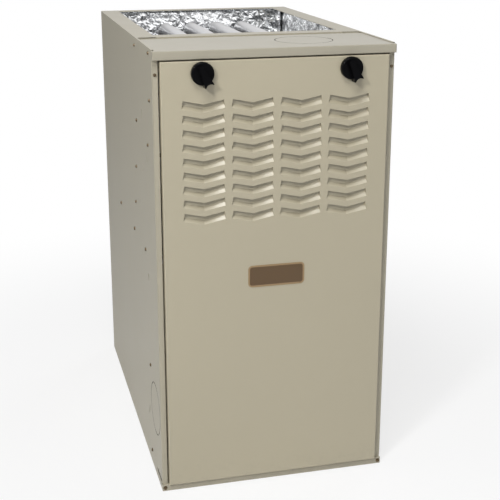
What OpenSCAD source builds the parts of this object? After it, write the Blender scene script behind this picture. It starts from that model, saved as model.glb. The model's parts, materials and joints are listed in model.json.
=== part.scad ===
// Forced air gas furnace: an upright steel cabinet with a louvred door.
// Air comes in at the bottom, through a filter and a blower, and leaves at the top.
// +Z is up, the door faces -Y, and the origin is on the floor under the middle.

/* [Cabinet] */
// Width across the casing
casing_w = 444.5; // [425:0.5:490]
// Depth of the casing, from its front posts to its back
casing_d = 724; // [700:1:800]
// Height of the casing
casing_h = 846; // [825:1:920]
// Thickness of the casing sheet
sheet_t = 1.2; // [0.9:0.1:1.6]
// Width of each front post
post_w = 10.5; // [9:0.5:14]
// Depth of the return behind each post
post_return = 14; // [10:1:14]
// How far the door and the cap stand in front of the posts
door_proud = 10; // [8:0.5:14]
// Height of the blower deck above the floor
deck_z = 440; // [430:1:450]
// Width of the inward flange round the bottom opening
bottom_flange_w = 22; // [21:0.5:26]
// Height of the lip on the bottom flange, which carries the filter
filter_lip_h = 20; // [16:1:26]

/* [Top] */
// Depth of the cap, from its front face to its back edge
cap_d = 190; // [180:1:200]
// Height of the cap's front flange
cap_flange_h = 17.5; // [14:0.5:22]
// Depth of the rail between the cap and the outlet
outlet_rail_d = 35; // [25:1:45]
// Width of the duct flange on each side of the outlet
side_flange_w = 38; // [25:1:42]
// Width of the duct flange behind the outlet
back_flange_w = 27; // [20:1:35]
// Diameter of the vent knock-out in the cap
knockout_d = 108; // [100:1:112]
// Distance of the vent from the middle, to the right
vent_x = 76; // [66:1:86]
// Distance of the vent behind the cap's front face
vent_from_face = 95; // [92:0.5:98]

/* [Door] */
// Gap beside the door, to each post
door_side_gap = 2.5; // [1.5:0.25:4]
// Gap above the door, under the cap
door_top_gap = 2.5; // [1.5:0.25:4]
// Depth of the return round the door's edge
door_return = 16; // [12:0.5:17]
// Number of rows of louvres
louvre_rows = 9; // [1:1:12]
// Distance from one row of louvres to the next
louvre_pitch = 25.4; // [22:0.1:28]
// Width of a louvre along its top edge
louvre_w = 73; // [60:0.5:76]
// Height of a louvre
louvre_h = 14.2; // [11:0.1:17]
// Drop of a louvre's middle below its ends
louvre_drop = 7.3; // [4:0.1:10]
// How far a louvre is pressed in along its top edge
louvre_press = 12; // [6:0.5:13]
// Distance between two columns of louvres
louvre_spacing = 89.5; // [86:0.5:92]
// Distance of the first row's top edge below the door's top
louvre_from_top = 68.8; // [55:0.1:80]
// Radius of a latch knob
knob_r = 20.5; // [17:0.5:24]
// How far a latch knob stands in front of the door
knob_proud = 20; // [16:0.5:24]
// Distance of each latch knob from the door's side edge
knob_from_side = 73.25; // [60:0.25:90]
// Distance of the latch knobs below the door's top
knob_from_top = 21.5; // [20:0.5:24]
// Length of a latch cam, from the stem's middle to its tip
cam_l = 22; // [20:0.5:24]
// Width of the bare plate on the door
badge_w = 108; // [90:1:120]
// Height of the bare plate on the door
badge_h = 42; // [36:1:48]
// Distance of the bare plate's middle below the door's top
badge_from_top = 401; // [356:1:426]

/* [Base rail] */
// Height of the base rail
base_rail_h = 13; // [11:0.5:14]
// How far the base rail stands in front of the posts
base_rail_proud = 4; // [2:0.5:6]
// Length of the base rail's return along each side
base_return = 56; // [54:1:70]
// Gap above the base rail's side return
notch_gap = 2; // [1:0.5:4]

/* [Heat exchanger] */
// Distance from one exchanger cell to the next
cell_pitch = 59; // [58:0.5:62]
// Height of the cells' first pass above the blower deck
first_pass_from_deck = 85; // [78:1:95]
// Radius of the cells' first pass
first_pass_r = 22; // [18:0.5:24]
// Radius of the cells' other passes
pass_r = 14; // [10:0.5:16]
// Gap between the top of the cells and the top of the casing
cell_top_gap = 20; // [19.5:0.5:24]
// Gap between the cells and the back of the casing
cell_back_gap = 56.6; // [50:0.1:80]
// Thickness of the foil-faced lining
liner_t = 12; // [8:0.5:14]

/* [Burners] */
// Length of a burner
burner_l = 92; // [80:1:96]
// Radius of a burner's mouth
burner_mouth_r = 14; // [12:0.5:16]
// Outer radius of the manifold pipe
manifold_r = 10.65; // [9:0.05:12]
// Radius of the gas inlet's bore
gas_bore_r = 9.2; // [7:0.1:10]
// Radius of the hole for the gas pipe in the casing
gas_hole_r = 22.2; // [18:0.2:26]

/* [Inducer] */
// Radius of the inducer's wheel
inducer_wheel_r = 55; // [48:0.5:56]
// Number of blades on the inducer's wheel
inducer_blades = 20; // [12:1:28]
// Height of the inducer's shaft in the burner compartment, as a share of its height
inducer_rise = 0.653; // [0.64:0.001:0.665]
// Depth of the inducer's housing
inducer_housing_d = 65; // [60:1:66]
// Radius of the vent collar
vent_r = 50.8; // [45:0.2:51.5]

/* [Blower] */
// Radius of the blower wheel
wheel_r = 127; // [115:1:130]
// Width of the blower wheel
wheel_w = 203; // [180:1:210]
// Number of blades on the blower wheel
wheel_blades = 40; // [24:1:44]
// Gap between the wheel and the scroll at its cut-off
scroll_gap = 10; // [8:0.5:14]
// Growth of the scroll's radius over its turn
scroll_growth = 45; // [35:1:50]
// Width of the blower housing
housing_w = 250; // [246:1:262]
// Distance of the blower's shaft behind the front posts
blower_y = 405; // [395:1:420]
// Distance of the blower's shaft below the deck
blower_from_deck = 214; // [208:1:218]
// Radius of the blower's shaft
shaft_r = 6.35; // [5:0.05:8]
// Radius of the blower's motor
motor_r = 70; // [60:1:76]
// Length of the blower's motor
motor_l = 138; // [120:1:145]

/* [Fasteners and clearances] */
// Radius of a sheet screw's shank
screw_r = 2; // [1.5:0.1:2.4]
// Clearance round a screw's shank
screw_clearance = 0.2; // [0.1:0.05:0.4]
// Running clearance round a turning shaft
running_clearance = 0.05; // [0.02:0.01:0.09]
// Gap between two sheets that slide past each other
seat_gap = 0.3; // [0.2:0.05:0.5]

/* [Hidden] */

$fn = 48;
eps = 0.01;
paint = [0.69, 0.66, 0.57];
steel = [0.72, 0.73, 0.75];
dark = [0.15, 0.15, 0.16];

// The frame: depth zero is the plane of the front posts.
total_d = casing_d + door_proud + knob_proud;
front_y = knob_proud + door_proud - total_d / 2;
right_x = casing_w / 2;
left_x = -right_x;
wall_x = right_x - sheet_t;
top_z = casing_h;
face_d = -door_proud;

// The top
cap_back_d = cap_d - door_proud;
cap_drop = sheet_t + seat_gap;
cap_z = top_z - cap_drop;
cap_hem_w = 4;
cap_joggle = 5;
rail_back_d = cap_back_d + outlet_rail_d;
rail_face_h = 18;
outlet_x = right_x - side_flange_w;
outlet_back_d = casing_d - back_flange_w;
vent_d = vent_from_face - door_proud;
groove_w = 1.2;
flange_z = top_z - cap_flange_h;
keeper_d = door_return - door_proud + 2;
keeper_h = 15.5;

// The door
post_screw_z = top_z - 43;
door_w = casing_w - 2 * (post_w + door_side_gap);
door_z0 = base_rail_h + 0.6;
door_z1 = flange_z - door_top_gap;
knob_x = door_w / 2 - knob_from_side;
knob_z = door_z1 - knob_from_top;
badge_z = door_z1 - badge_from_top;
stem_r = 4;
cam_d = keeper_d + sheet_t + 1;
cam_t = 3;
plate_t = 0.8;

// Places inside the casing
deck_flange_h = 18;
deck_front_h = 24;
deck_screw_x = right_x - 72;
deck_screw_z = deck_z + 9;
blower_door_d = keeper_d + 8;
blower_door_lip = 8;
blower_door_z1 = deck_z + 15;
panel_d = cap_back_d + sheet_t;
panel_back_d = panel_d + sheet_t;
cell_x = [for (i = [0 : 3]) (i - 1.5) * cell_pitch];
cell_l = casing_d - cell_back_gap - panel_back_d;
first_pass_z = deck_z + first_pass_from_deck;
cell_top = top_z - cell_top_gap;
pass_4_z = cell_top - pass_r;
pass_step = (pass_4_z - first_pass_z) / 3;
pass_z = [first_pass_z, first_pass_z + pass_step * 1.2, pass_4_z - pass_step * 0.9, pass_4_z];
burner_d = panel_d - 21;
burner_mouth_d = burner_d - burner_l;
orifice_d = burner_mouth_d - 1;
manifold_d = 45;
collector_d = 42;
collector_face_d = panel_d - collector_d;
inducer_face_d = collector_face_d - inducer_housing_d;
inducer_x = 6;
inducer_r0 = inducer_wheel_r + 7;
inducer_r1 = vent_x + 26;
inducer_z = deck_z + inducer_rise * (top_z - deck_z);
inducer_top = top_z - 56;
lip_z = sheet_t + filter_lip_h;
filter_w = casing_w - 2 * bottom_flange_w + 6;
filter_t = 25;
filter_d = 46;
filter_l = casing_d - 2 * filter_d;
blower_z = deck_z - blower_from_deck;
scroll_r0 = wheel_r + scroll_gap;
scroll_r1 = scroll_r0 + scroll_growth;
cut_angle = 140;

// Side screws: [depth behind the posts, height, head radius, true where the right side has it too]
side_screws = [[32.5, top_z - 9.2, 4.2, true], [cap_back_d + 17, top_z - 15.4, 3.4, true],
    [31.7, top_z - 92.3, 4.2, false], [61, top_z - 178.4, 4.2, false], [124, deck_z + 10, 4.6, true],
    [267, deck_z + 10, 4.6, true], [469, deck_z + 10, 4.6, true], [111, 28.6, 4.2, true]];

// Moves a shape from depth behind the posts to its place in the frame.
module at_depth(d) { translate([0, front_y + d, 0]) children(); }

// A block between two corners, given as [x, depth, z].
module block(lo, hi) {
    translate([lo[0], front_y + lo[1], lo[2]])
        cube([hi[0] - lo[0], hi[1] - lo[1], hi[2] - lo[2]]);
}

// Round bars along each axis, from the first end to the second.
module bar_x(r, x0, x1, d, z) {
    translate([x0, front_y + d, z]) rotate([0, 90, 0]) cylinder(r = r, h = x1 - x0);
}
module bar_y(r, d0, d1, x, z) {
    translate([x, front_y + d0, z]) rotate([-90, 0, 0]) cylinder(r = r, h = d1 - d0);
}
module bar_z(r, z0, z1, x, d) {
    translate([x, front_y + d, z0]) cylinder(r = r, h = z1 - z0);
}

module both_sides() {
    children();
    mirror([1, 0, 0]) children();
}

// Stands an outline up: its x runs along X, its y along Z, and it is extruded back from depth d
module upright_x(d, h)
    translate([0, front_y + d + h, 0]) rotate([90, 0, 0]) linear_extrude(h) children();
// The same with its x along the depth, extruded to the right from x
module upright_y(x, h)
    translate([x, 0, 0]) rotate([90, 0, 90]) linear_extrude(h) children();

// Rectangle with round corners, centred
module rounded_rect(w, h, r) {
    square([w - 2 * r, h], center = true);
    square([w, h - 2 * r], center = true);
    for (x = [-1, 1], y = [-1, 1]) translate([x * (w / 2 - r), y * (h / 2 - r)]) circle(r);
}

// Clearance holes for the side screws, through whatever lies behind the casing's walls
module side_screw_holes(reach) {
    for (s = side_screws) {
        bar_x(screw_r + screw_clearance, left_x - 1, left_x + reach, s[0], s[1]);
        if (s[3]) bar_x(screw_r + screw_clearance, right_x - reach, right_x + 1, s[0], s[1]);
    }
}

// Casing: the two sides and the back, with the front posts and the duct flanges

module side_wall() {
    difference() {
        block([left_x, 0, 0], [left_x + sheet_t, casing_d, top_z]);
        block([left_x - 1, -1, -1], [left_x + 2, base_return + 1, base_rail_h + notch_gap]);
    }
    post_x = left_x + post_w;
    block([left_x, 0, base_rail_h + notch_gap], [post_x, sheet_t, cap_z - sheet_t - seat_gap]);
    block([left_x + sheet_t + seat_gap, 0, sheet_t + seat_gap], [post_x, sheet_t, base_rail_h + 3]);
    block([post_x - sheet_t, 0, base_rail_h + notch_gap],
        [post_x, post_return, cap_z - sheet_t - seat_gap]);
    block([left_x, 0, top_z - sheet_t], [left_x + cap_hem_w, cap_back_d, top_z]);
    block([left_x, cap_back_d, top_z - sheet_t], [left_x + side_flange_w, casing_d, top_z]);
    block([left_x, base_return + 2, 0], [left_x + bottom_flange_w, casing_d, sheet_t]);
    block([left_x + bottom_flange_w - sheet_t, base_return + 2, 0],
        [left_x + bottom_flange_w, casing_d, lip_z]);
}

// Openings that both sides have: the screw holes, the slots and the pressed outline
module side_wall_openings() {
    x0 = left_x - 1;
    x1 = left_x + 2;
    slot_l = 12;
    slot_w = 1.6;
    for (p = [[132, top_z - 134], [132.7, top_z - 238.4], [82, top_z - 209]])
        block([x0, p[0] - slot_w / 2, p[1] - slot_l / 2], [x1, p[0] + slot_w / 2, p[1] + slot_l / 2]);
    hole_r = 3.6;
    for (p = [[216, top_z - 254], [236, deck_z + 75], [casing_d - 28, deck_z + 2.5], [104, 218]])
        bar_x(hole_r, x0, x1, p[0], p[1]);
    keyhole = [98.5, deck_z - 35];
    bar_x(5, x0, x1, keyhole[0], keyhole[1]);
    block([x0, keyhole[0] - 2, keyhole[1] - 10], [x1, keyhole[0] + 2, keyhole[1]]);
    translate([x0, front_y + 137, 98]) rotate([25, 0, 0]) cube([3, slot_w, 22]);
    pressed_r = 52;
    difference() {
        bar_x(pressed_r, x0, left_x + 0.5, pressed_r + 6, 146);
        bar_x(pressed_r - groove_w, x0 - 1, x1 - 1, pressed_r + 6, 146);
    }
}

module casing_wrap() color(paint) difference() {
    union() {
        both_sides() side_wall();
        block([left_x, casing_d - sheet_t, 0], [right_x, casing_d, top_z]);
        block([-outlet_x, outlet_back_d, top_z - sheet_t], [outlet_x, casing_d, top_z]);
        block([left_x, casing_d - bottom_flange_w, 0], [right_x, casing_d, sheet_t]);
        block([left_x, casing_d - bottom_flange_w, 0],
            [right_x, casing_d - bottom_flange_w + sheet_t, lip_z]);
    }
    both_sides() side_wall_openings();
    side_screw_holes(2);
    both_sides() for (z = [base_rail_h / 2, post_screw_z])
        bar_y(screw_r + screw_clearance, -1, 2, left_x + post_w / 2, z);
    bar_x(gas_hole_r, right_x - 2, right_x + 1, manifold_d, first_pass_z);
}

// Cap over the burner compartment, with the keeper that the latches turn behind

module top_cap() color([0.74, 0.73, 0.68]) {
    cap_x = wall_x - seat_gap;
    under_z = cap_z - sheet_t;
    keeper_x = right_x - post_w - 1;
    slope_d = [cap_back_d - 12, cap_back_d - 7];
    groove_depth = 0.7;
    slot_angle = 44;
    difference() {
        union() {
            at_depth(0) upright_y(-cap_x, 2 * cap_x) polygon([[face_d, under_z], [slope_d[0], under_z],
                [slope_d[1], under_z - cap_joggle], [cap_back_d - seat_gap, under_z - cap_joggle],
                [cap_back_d - seat_gap, cap_z - cap_joggle], [slope_d[1], cap_z - cap_joggle],
                [slope_d[0], cap_z], [face_d, cap_z]]);
            block([left_x, face_d, under_z], [right_x, -seat_gap, cap_z]);
        }
        at_depth(vent_d) translate([vent_x, 0, cap_z - groove_depth]) difference() {
            cylinder(d = knockout_d, h = 2);
            translate([0, 0, -1]) cylinder(d = knockout_d - 2 * groove_w, h = 4);
        }
        at_depth(vent_d) translate([vent_x, 0, under_z - 1]) for (a = [0, 180])
            rotate([0, 0, a - slot_angle / 2]) rotate_extrude(angle = slot_angle)
                translate([knockout_d / 2 - groove_w + 0.2, 0]) square([groove_w - 0.4, 4]);
    }
    block([left_x, face_d, flange_z], [right_x, face_d + sheet_t, cap_z]);
    block([left_x, face_d, flange_z], [right_x, -seat_gap, flange_z + sheet_t]);
    both_sides() block([left_x, face_d, flange_z], [left_x + sheet_t, -seat_gap, cap_z]);
    block([-keeper_x, -1, flange_z], [keeper_x, keeper_d + sheet_t, flange_z + sheet_t]);
    block([-keeper_x, keeper_d, flange_z - keeper_h], [keeper_x, keeper_d + sheet_t, flange_z]);
    both_sides() difference() {
        block([-cap_x, post_return + 4, cap_z - 24], [-cap_x + sheet_t, cap_back_d - 14, cap_z]);
        side_screw_holes(4);
    }
}

// Rail in front of the outlet: the face that shows behind the cap, the top and the inner lip
module outlet_front_rail() color(paint) {
    rail_x = wall_x - seat_gap;
    difference() {
        union() {
            block([-outlet_x + seat_gap, cap_back_d, top_z - sheet_t],
                [outlet_x - seat_gap, rail_back_d, top_z]);
            block([-rail_x, cap_back_d, top_z - rail_face_h],
                [rail_x, panel_d, top_z - sheet_t - seat_gap]);
            block([-outlet_x + seat_gap, cap_back_d, top_z - sheet_t - 1],
                [outlet_x - seat_gap, panel_d, top_z]);
            block([-outlet_x + seat_gap, rail_back_d - sheet_t, top_z - rail_face_h + 2],
                [outlet_x - seat_gap, rail_back_d, top_z]);
            both_sides() block([-rail_x, cap_back_d, top_z - rail_face_h],
                [-rail_x + sheet_t, rail_back_d - 6, top_z - sheet_t - seat_gap]);
        }
        side_screw_holes(4);
    }
}

// Panel between the burners and the exchanger cells, with a port for each end of each cell
module cell_panel() color([0.66, 0.67, 0.68]) difference() {
    panel_x = wall_x - seat_gap - sheet_t;
    union() {
        block([-panel_x, panel_d, deck_z + sheet_t],
            [panel_x, panel_back_d, top_z - sheet_t - seat_gap]);
        block([-panel_x, panel_d, deck_z + sheet_t], [panel_x, panel_d + 20, deck_z + 2 * sheet_t]);
        both_sides() block([-panel_x, panel_d, deck_z + deck_flange_h + 4],
            [-panel_x + sheet_t, panel_d + 14, top_z - rail_face_h - 2]);
    }
    for (x = cell_x) {
        bar_y(first_pass_r + 0.2, panel_d - 1, panel_back_d + 1, x, pass_z[0]);
        bar_y(pass_r + 0.2, panel_d - 1, panel_back_d + 1, x, pass_z[3]);
    }
}

// Shelf that carries the burner compartment and hangs the blower
module blower_deck() color([0.70, 0.71, 0.72]) {
    throat_d = [blower_y + scroll_r0 * cos(cut_angle) + 2, blower_y + scroll_r1 - sheet_t - 2];
    front_d = blower_door_d + sheet_t;
    deck_x = wall_x - seat_gap;
    difference() {
        union() {
            block([-deck_x, front_d, deck_z], [deck_x, casing_d - sheet_t - seat_gap, deck_z + sheet_t]);
            block([-deck_x, front_d, deck_z], [deck_x, front_d + sheet_t, deck_z + deck_front_h]);
            both_sides() block([-deck_x, front_d, deck_z],
                [-deck_x + sheet_t, casing_d - sheet_t - seat_gap, deck_z + deck_flange_h]);
        }
        block([-housing_w / 2 + 4, throat_d[0], deck_z - 1],
            [housing_w / 2 - 4, throat_d[1], deck_z + 2]);
        bar_z(harness_r + 8, deck_z - 1, deck_z + 2, harness_x, harness_d);
        side_screw_holes(4);
        for (s = [-1, 1])
            bar_y(screw_r + screw_clearance, front_d - 1, front_d + 2, s * deck_screw_x, deck_screw_z);
    }
}

// Rail under the door: a front face, a ledge, two side returns and a lip for the filter
module base_rail() color(paint) {
    face = -base_rail_proud;
    filter_edge_d = filter_d + 4;
    difference() {
        union() {
            block([left_x, face, 0], [right_x, face + sheet_t, base_rail_h]);
            block([left_x, face, 0], [right_x, filter_edge_d, sheet_t]);
            block([left_x, face, base_rail_h - sheet_t], [right_x, -seat_gap, base_rail_h]);
            block([left_x + post_w + 0.5, face, base_rail_h - sheet_t],
                [right_x - post_w - 0.5, blower_door_d + 4, base_rail_h]);
            block([left_x + bottom_flange_w, filter_edge_d - sheet_t, 0],
                [right_x - bottom_flange_w, filter_edge_d, lip_z]);
            both_sides() block([left_x, face, 0], [left_x + sheet_t, base_return, base_rail_h]);
        }
        both_sides() bar_y(screw_r + screw_clearance, face - 1, face + 2,
            left_x + post_w / 2, base_rail_h / 2);
    }
}

// Foil-faced lining on the three walls round the exchanger

liner_z0 = deck_z + deck_flange_h + 1;
liner_z1 = top_z - sheet_t - 0.5;

module foil_liner_left() color([0.85, 0.86, 0.88])
    block([-wall_x + 0.1, rail_back_d + 2, liner_z0],
        [-wall_x + liner_t, casing_d - sheet_t - 0.1, liner_z1]);

module foil_liner_right() color([0.85, 0.86, 0.88])
    block([wall_x - liner_t, rail_back_d + 2, liner_z0],
        [wall_x - 0.1, casing_d - sheet_t - 0.1, liner_z1]);

module foil_liner_back() color([0.82, 0.83, 0.85])
    block([-wall_x + liner_t + 0.2, casing_d - sheet_t - liner_t, liner_z0],
        [wall_x - liner_t - 0.2, casing_d - sheet_t - 0.1, liner_z1]);

// Exchanger cell: two pressed halves, crimped together, that make four passes

module half_bend(z0, z1, d, back) {
    bend_r = (z1 - z0) / 2;
    translate([0, front_y + d, (z0 + z1) / 2]) rotate([0, 90, 0])
        rotate([0, 0, back ? 0 : 180]) rotate_extrude(angle = 180)
            translate([bend_r, 0]) circle(pass_r);
}

module exchanger_cell(i) color([0.78, 0.79, 0.80]) translate([cell_x[i], 0, 0]) {
    back_d = panel_back_d + cell_l;
    bend_1_d = back_d - (pass_z[1] - pass_z[0]) / 2 - pass_r;
    bend_3_d = back_d - (pass_z[3] - pass_z[2]) / 2 - pass_r;
    bend_2_d = panel_back_d + (pass_z[2] - pass_z[1]) / 2 + pass_r + 4;
    seam_t = 1.6;
    difference() {
        union() {
            bar_y(first_pass_r, panel_d - 3, bend_1_d - 60, 0, pass_z[0]);
            at_depth(bend_1_d - 60) translate([0, 0, pass_z[0]]) rotate([-90, 0, 0])
                cylinder(r1 = first_pass_r, r2 = pass_r, h = 60);
            half_bend(pass_z[0], pass_z[1], bend_1_d, true);
            bar_y(pass_r, bend_2_d, bend_1_d, 0, pass_z[1]);
            half_bend(pass_z[1], pass_z[2], bend_2_d, false);
            bar_y(pass_r, bend_2_d, bend_3_d, 0, pass_z[2]);
            half_bend(pass_z[2], pass_z[3], bend_3_d, true);
            bar_y(pass_r, panel_d - 3, bend_3_d, 0, pass_z[3]);
            block([-seam_t / 2, panel_back_d + 0.1, pass_z[0] - first_pass_r - 5],
                [seam_t / 2, back_d - 20, cell_top - 4]);
        }
        bar_y(first_pass_r - 1.5, panel_d - 4, panel_d + 90, 0, pass_z[0]);
        bar_y(pass_r - 1.5, panel_d - 4, panel_d + 60, 0, pass_z[3]);
    }
}

module exchanger_cell_1() exchanger_cell(0);
module exchanger_cell_2() exchanger_cell(1);
module exchanger_cell_3() exchanger_cell(2);
module exchanger_cell_4() exchanger_cell(3);

// Box that gathers the flue gas from the cells' last passes
module collector_box() color([0.74, 0.75, 0.76]) {
    box_x = cell_x[3] + pass_r + 10;
    box_z0 = inducer_z - 50;
    box_z1 = top_z - rail_face_h - 0.5;
    t = 1;
    difference() {
        union() {
            block([-box_x, collector_face_d, box_z0], [box_x, panel_d, box_z1]);
            block([-box_x - 10, panel_d - t, box_z0 - 10], [box_x + 10, panel_d, box_z1]);
        }
        block([-box_x + t, collector_face_d + t, box_z0 + t], [box_x - t, panel_d + 1, box_z1 - t]);
        bar_y(inducer_wheel_r * 0.6, collector_face_d - 1, collector_face_d + 2, inducer_x, inducer_z);
    }
}

// Volute: the outline shared by the inducer's and the blower's housings.
// It starts at the cut-off, grows round to the right side and runs up to its outlet.
function volute_r(r0, r1, a) = r0 + (r1 - r0) * (a - cut_angle) / (360 - cut_angle);
function volute_points(r0, r1, top, inset) = concat(
    [for (a = [cut_angle : 10 : 360])
        (volute_r(r0, r1, a) - inset) * [cos(a), sin(a)]],
    [[r1 - inset, top], [r0 * cos(cut_angle) + inset, top]]);

module volute(r0, r1, top, wall) difference() {
    polygon(volute_points(r0, r1, top, 0));
    if (wall > 0) polygon(volute_points(r0, r1, top + 1, wall));
}

// Draft inducer

module inducer_housing() color([0.70, 0.71, 0.73]) {
    t = 1.2;
    top = inducer_top - inducer_z;
    difference() {
        union() {
            translate([inducer_x, 0, inducer_z]) {
                upright_x(inducer_face_d, inducer_housing_d) volute(inducer_r0, inducer_r1, top, t);
                upright_x(inducer_face_d, t) volute(inducer_r0, inducer_r1, top, 0);
                upright_x(collector_face_d - t, t) volute(inducer_r0, inducer_r1, top, 0);
            }
        }
        bar_y(7, inducer_face_d - 1, inducer_face_d + 2, inducer_x, inducer_z);
        bar_y(inducer_wheel_r * 0.6, collector_face_d - 2, collector_face_d + 1, inducer_x, inducer_z);
    }
}

inducer_wheel_d = inducer_face_d + 14;
inducer_wheel_w = 38;
inducer_shaft_r = 4;

module inducer_wheel() color(steel) {
    hub_r = 9;
    difference() {
        union() {
            bar_y(inducer_wheel_r, inducer_wheel_d, inducer_wheel_d + 1.5, inducer_x, inducer_z);
            bar_y(hub_r, inducer_wheel_d, inducer_wheel_d + 14, inducer_x, inducer_z);
            translate([inducer_x, 0, inducer_z]) upright_x(inducer_wheel_d, inducer_wheel_w)
                for (i = [0 : inducer_blades - 1]) rotate(i * 360 / inducer_blades)
                    translate([inducer_wheel_r * 0.66, -0.5]) square([inducer_wheel_r * 0.33, 1]);
        }
        bar_y(inducer_shaft_r + 0.01, inducer_wheel_d - 1, inducer_wheel_d + 20, inducer_x, inducer_z);
    }
    difference() {
        bar_y(inducer_wheel_r, inducer_wheel_d + inducer_wheel_w - 1.2,
            inducer_wheel_d + inducer_wheel_w, inducer_x, inducer_z);
        bar_y(inducer_wheel_r * 0.7, inducer_wheel_d + inducer_wheel_w - 2,
            inducer_wheel_d + inducer_wheel_w + 1, inducer_x, inducer_z);
    }
}

inducer_fan_d = inducer_face_d - 15;
inducer_motor_d0 = 13;
inducer_motor_d1 = inducer_fan_d - 4;
inducer_motor_r = 42;

module inducer_shaft() color(steel)
    bar_y(inducer_shaft_r, inducer_motor_d0 + 6, inducer_wheel_d + 16, inducer_x, inducer_z);

module inducer_cooling_fan() color(dark) difference() {
    union() {
        bar_y(10, inducer_fan_d, inducer_fan_d + 8, inducer_x, inducer_z);
        bar_y(30, inducer_fan_d + 6.8, inducer_fan_d + 8, inducer_x, inducer_z);
        translate([inducer_x, 0, inducer_z]) upright_x(inducer_fan_d, 8)
            for (i = [0 : 7]) rotate(i * 45) translate([8, -0.6]) square([24, 1.2]);
    }
    bar_y(inducer_shaft_r + 0.01, inducer_fan_d - 1, inducer_fan_d + 10, inducer_x, inducer_z);
}

module inducer_motor() color([0.30, 0.31, 0.33]) difference() {
    union() {
        bar_y(inducer_motor_r, inducer_motor_d0 + 3, inducer_motor_d1 - 3, inducer_x, inducer_z);
        bar_y(inducer_motor_r - 6, inducer_motor_d0, inducer_motor_d1, inducer_x, inducer_z);
        for (a = [30 : 120 : 270]) {
            x = inducer_x + (inducer_motor_r + 5) * cos(a);
            z = inducer_z + (inducer_motor_r + 5) * sin(a);
            bar_y(5, inducer_motor_d1 - 10, inducer_face_d, x, z);
            bar_y(6.5, inducer_motor_d1 - 12, inducer_motor_d1 - 4, x, z);
        }
    }
    bar_y(inducer_shaft_r + running_clearance, inducer_motor_d0 + 5, inducer_face_d, inducer_x, inducer_z);
}

// Round collar that takes the vent pipe, on a plate over the inducer's outlet
module vent_collar() color(steel) difference() {
    outlet_x0 = inducer_x + inducer_r0 * cos(cut_angle) + 1.2;
    plate_x0 = min(outlet_x0, vent_x - vent_r - 4);
    union() {
        block([plate_x0 - 6, vent_d - vent_r - 2, inducer_top],
            [vent_x + vent_r + 2, collector_face_d - 0.5, inducer_top + 1.5]);
        bar_z(vent_r, inducer_top, cap_z - sheet_t - cap_joggle - 1.5, vent_x, vent_d);
    }
    bar_z(vent_r - 1.2, inducer_top + 1.5, top_z, vent_x, vent_d);
    block([vent_x - 26, inducer_face_d + 3, inducer_top - 1],
        [vent_x + 24, vent_d + 34, inducer_top + 3]);
}

// Gas train and burners

valve_w = 74;
valve_x0 = cell_x[3] + 40;
valve_x1 = valve_x0 + valve_w;
valve_d0 = 22;
gas_bore_l = 16;

module gas_manifold() color([0.20, 0.20, 0.21]) {
    difference() {
        bar_x(manifold_r, cell_x[0] - 34, valve_x0 + 0.01, manifold_d, first_pass_z);
        bar_x(manifold_r - 2.6, cell_x[0] - 28, valve_x0 + 1, manifold_d, first_pass_z);
    }
    bar_x(manifold_r + 2, cell_x[0] - 34, cell_x[0] - 26, manifold_d, first_pass_z);
    for (x = cell_x) bar_y(7, manifold_d + 2, orifice_d - 8, x, first_pass_z);
}

module gas_orifices() color([0.80, 0.66, 0.32]) for (x = cell_x) difference() {
    union() {
        translate([x, front_y + orifice_d - 8, first_pass_z]) rotate([-90, 0, 0])
            cylinder(r = 6.4, h = 5, $fn = 6);
        bar_y(4, orifice_d - 4, orifice_d, x, first_pass_z);
    }
    bar_y(0.6, orifice_d - 3, orifice_d + 1, x, first_pass_z);
}

module gas_valve() color([0.62, 0.63, 0.65]) {
    port_r = 16;
    port_l = 9;
    body_h = 68;
    body_d1 = valve_d0 + 52;
    body_z0 = first_pass_z - 24;
    body_z1 = body_z0 + body_h;
    difference() {
        union() {
            block([valve_x0 + port_l - 1, valve_d0, body_z0], [valve_x1 - port_l + 1, body_d1, body_z1]);
            bar_x(port_r, valve_x0, valve_x0 + port_l, manifold_d, first_pass_z);
            bar_x(port_r, valve_x1 - port_l, valve_x1, manifold_d, first_pass_z);
            bar_z(port_r + 4, body_z1 - 1, body_z1 + 10, valve_knob_x, manifold_d + 4);
            for (x = [valve_x0 + 20, valve_x1 - 20])
                bar_y(port_r / 2, valve_d0 - 4, valve_d0 + 1, x, first_pass_z - 12);
        }
        bar_x(gas_bore_r, valve_x1 - gas_bore_l, valve_x1 + 1, manifold_d, first_pass_z);
        bar_y(3 + running_clearance, valve_d0 - 1, valve_d0 + 12, valve_knob_x, valve_knob_z);
    }
}

valve_knob_x = (valve_x0 + valve_x1) / 2;
valve_knob_z = first_pass_z + 22;

module gas_valve_knob() color([0.12, 0.12, 0.13]) {
    bar_y(13, valve_d0 - 6, valve_d0 - 0.5, valve_knob_x, valve_knob_z);
    bar_y(3, valve_d0 - 1, valve_d0 + 10, valve_knob_x, valve_knob_z);
    block([valve_knob_x - 3.2, valve_d0 - 13, valve_knob_z - 12],
        [valve_knob_x + 3.2, valve_d0 - 5.9, valve_knob_z + 12]);
}

// Burner: a bell mouth, a throat and a flared end with a wing on each side
module burner(i) color([0.60, 0.61, 0.63]) {
    throat_r = burner_mouth_r * 0.64;
    end_r = burner_mouth_r * 1.15;
    t = 1.2;
    l = burner_l;
    translate([cell_x[i], front_y + burner_mouth_d, first_pass_z]) rotate([-90, 0, 0]) {
        rotate_extrude() polygon([[burner_mouth_r, 0], [throat_r + t, l * 0.18], [throat_r + t, l * 0.4],
            [end_r, l * 0.75], [end_r, l], [end_r - t, l], [end_r - t, l * 0.75],
            [throat_r, l * 0.4], [throat_r, l * 0.18], [burner_mouth_r - t, 0]]);
        for (s = [-1, 1]) translate([s > 0 ? end_r - 1 : -cell_pitch / 2 + 0.2, -5, l - 9])
            cube([cell_pitch / 2 - 0.2 - end_r + 1, 10, 8]);
    }
}

module burner_1() burner(0);
module burner_2() burner(1);
module burner_3() burner(2);
module burner_4() burner(3);

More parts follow.
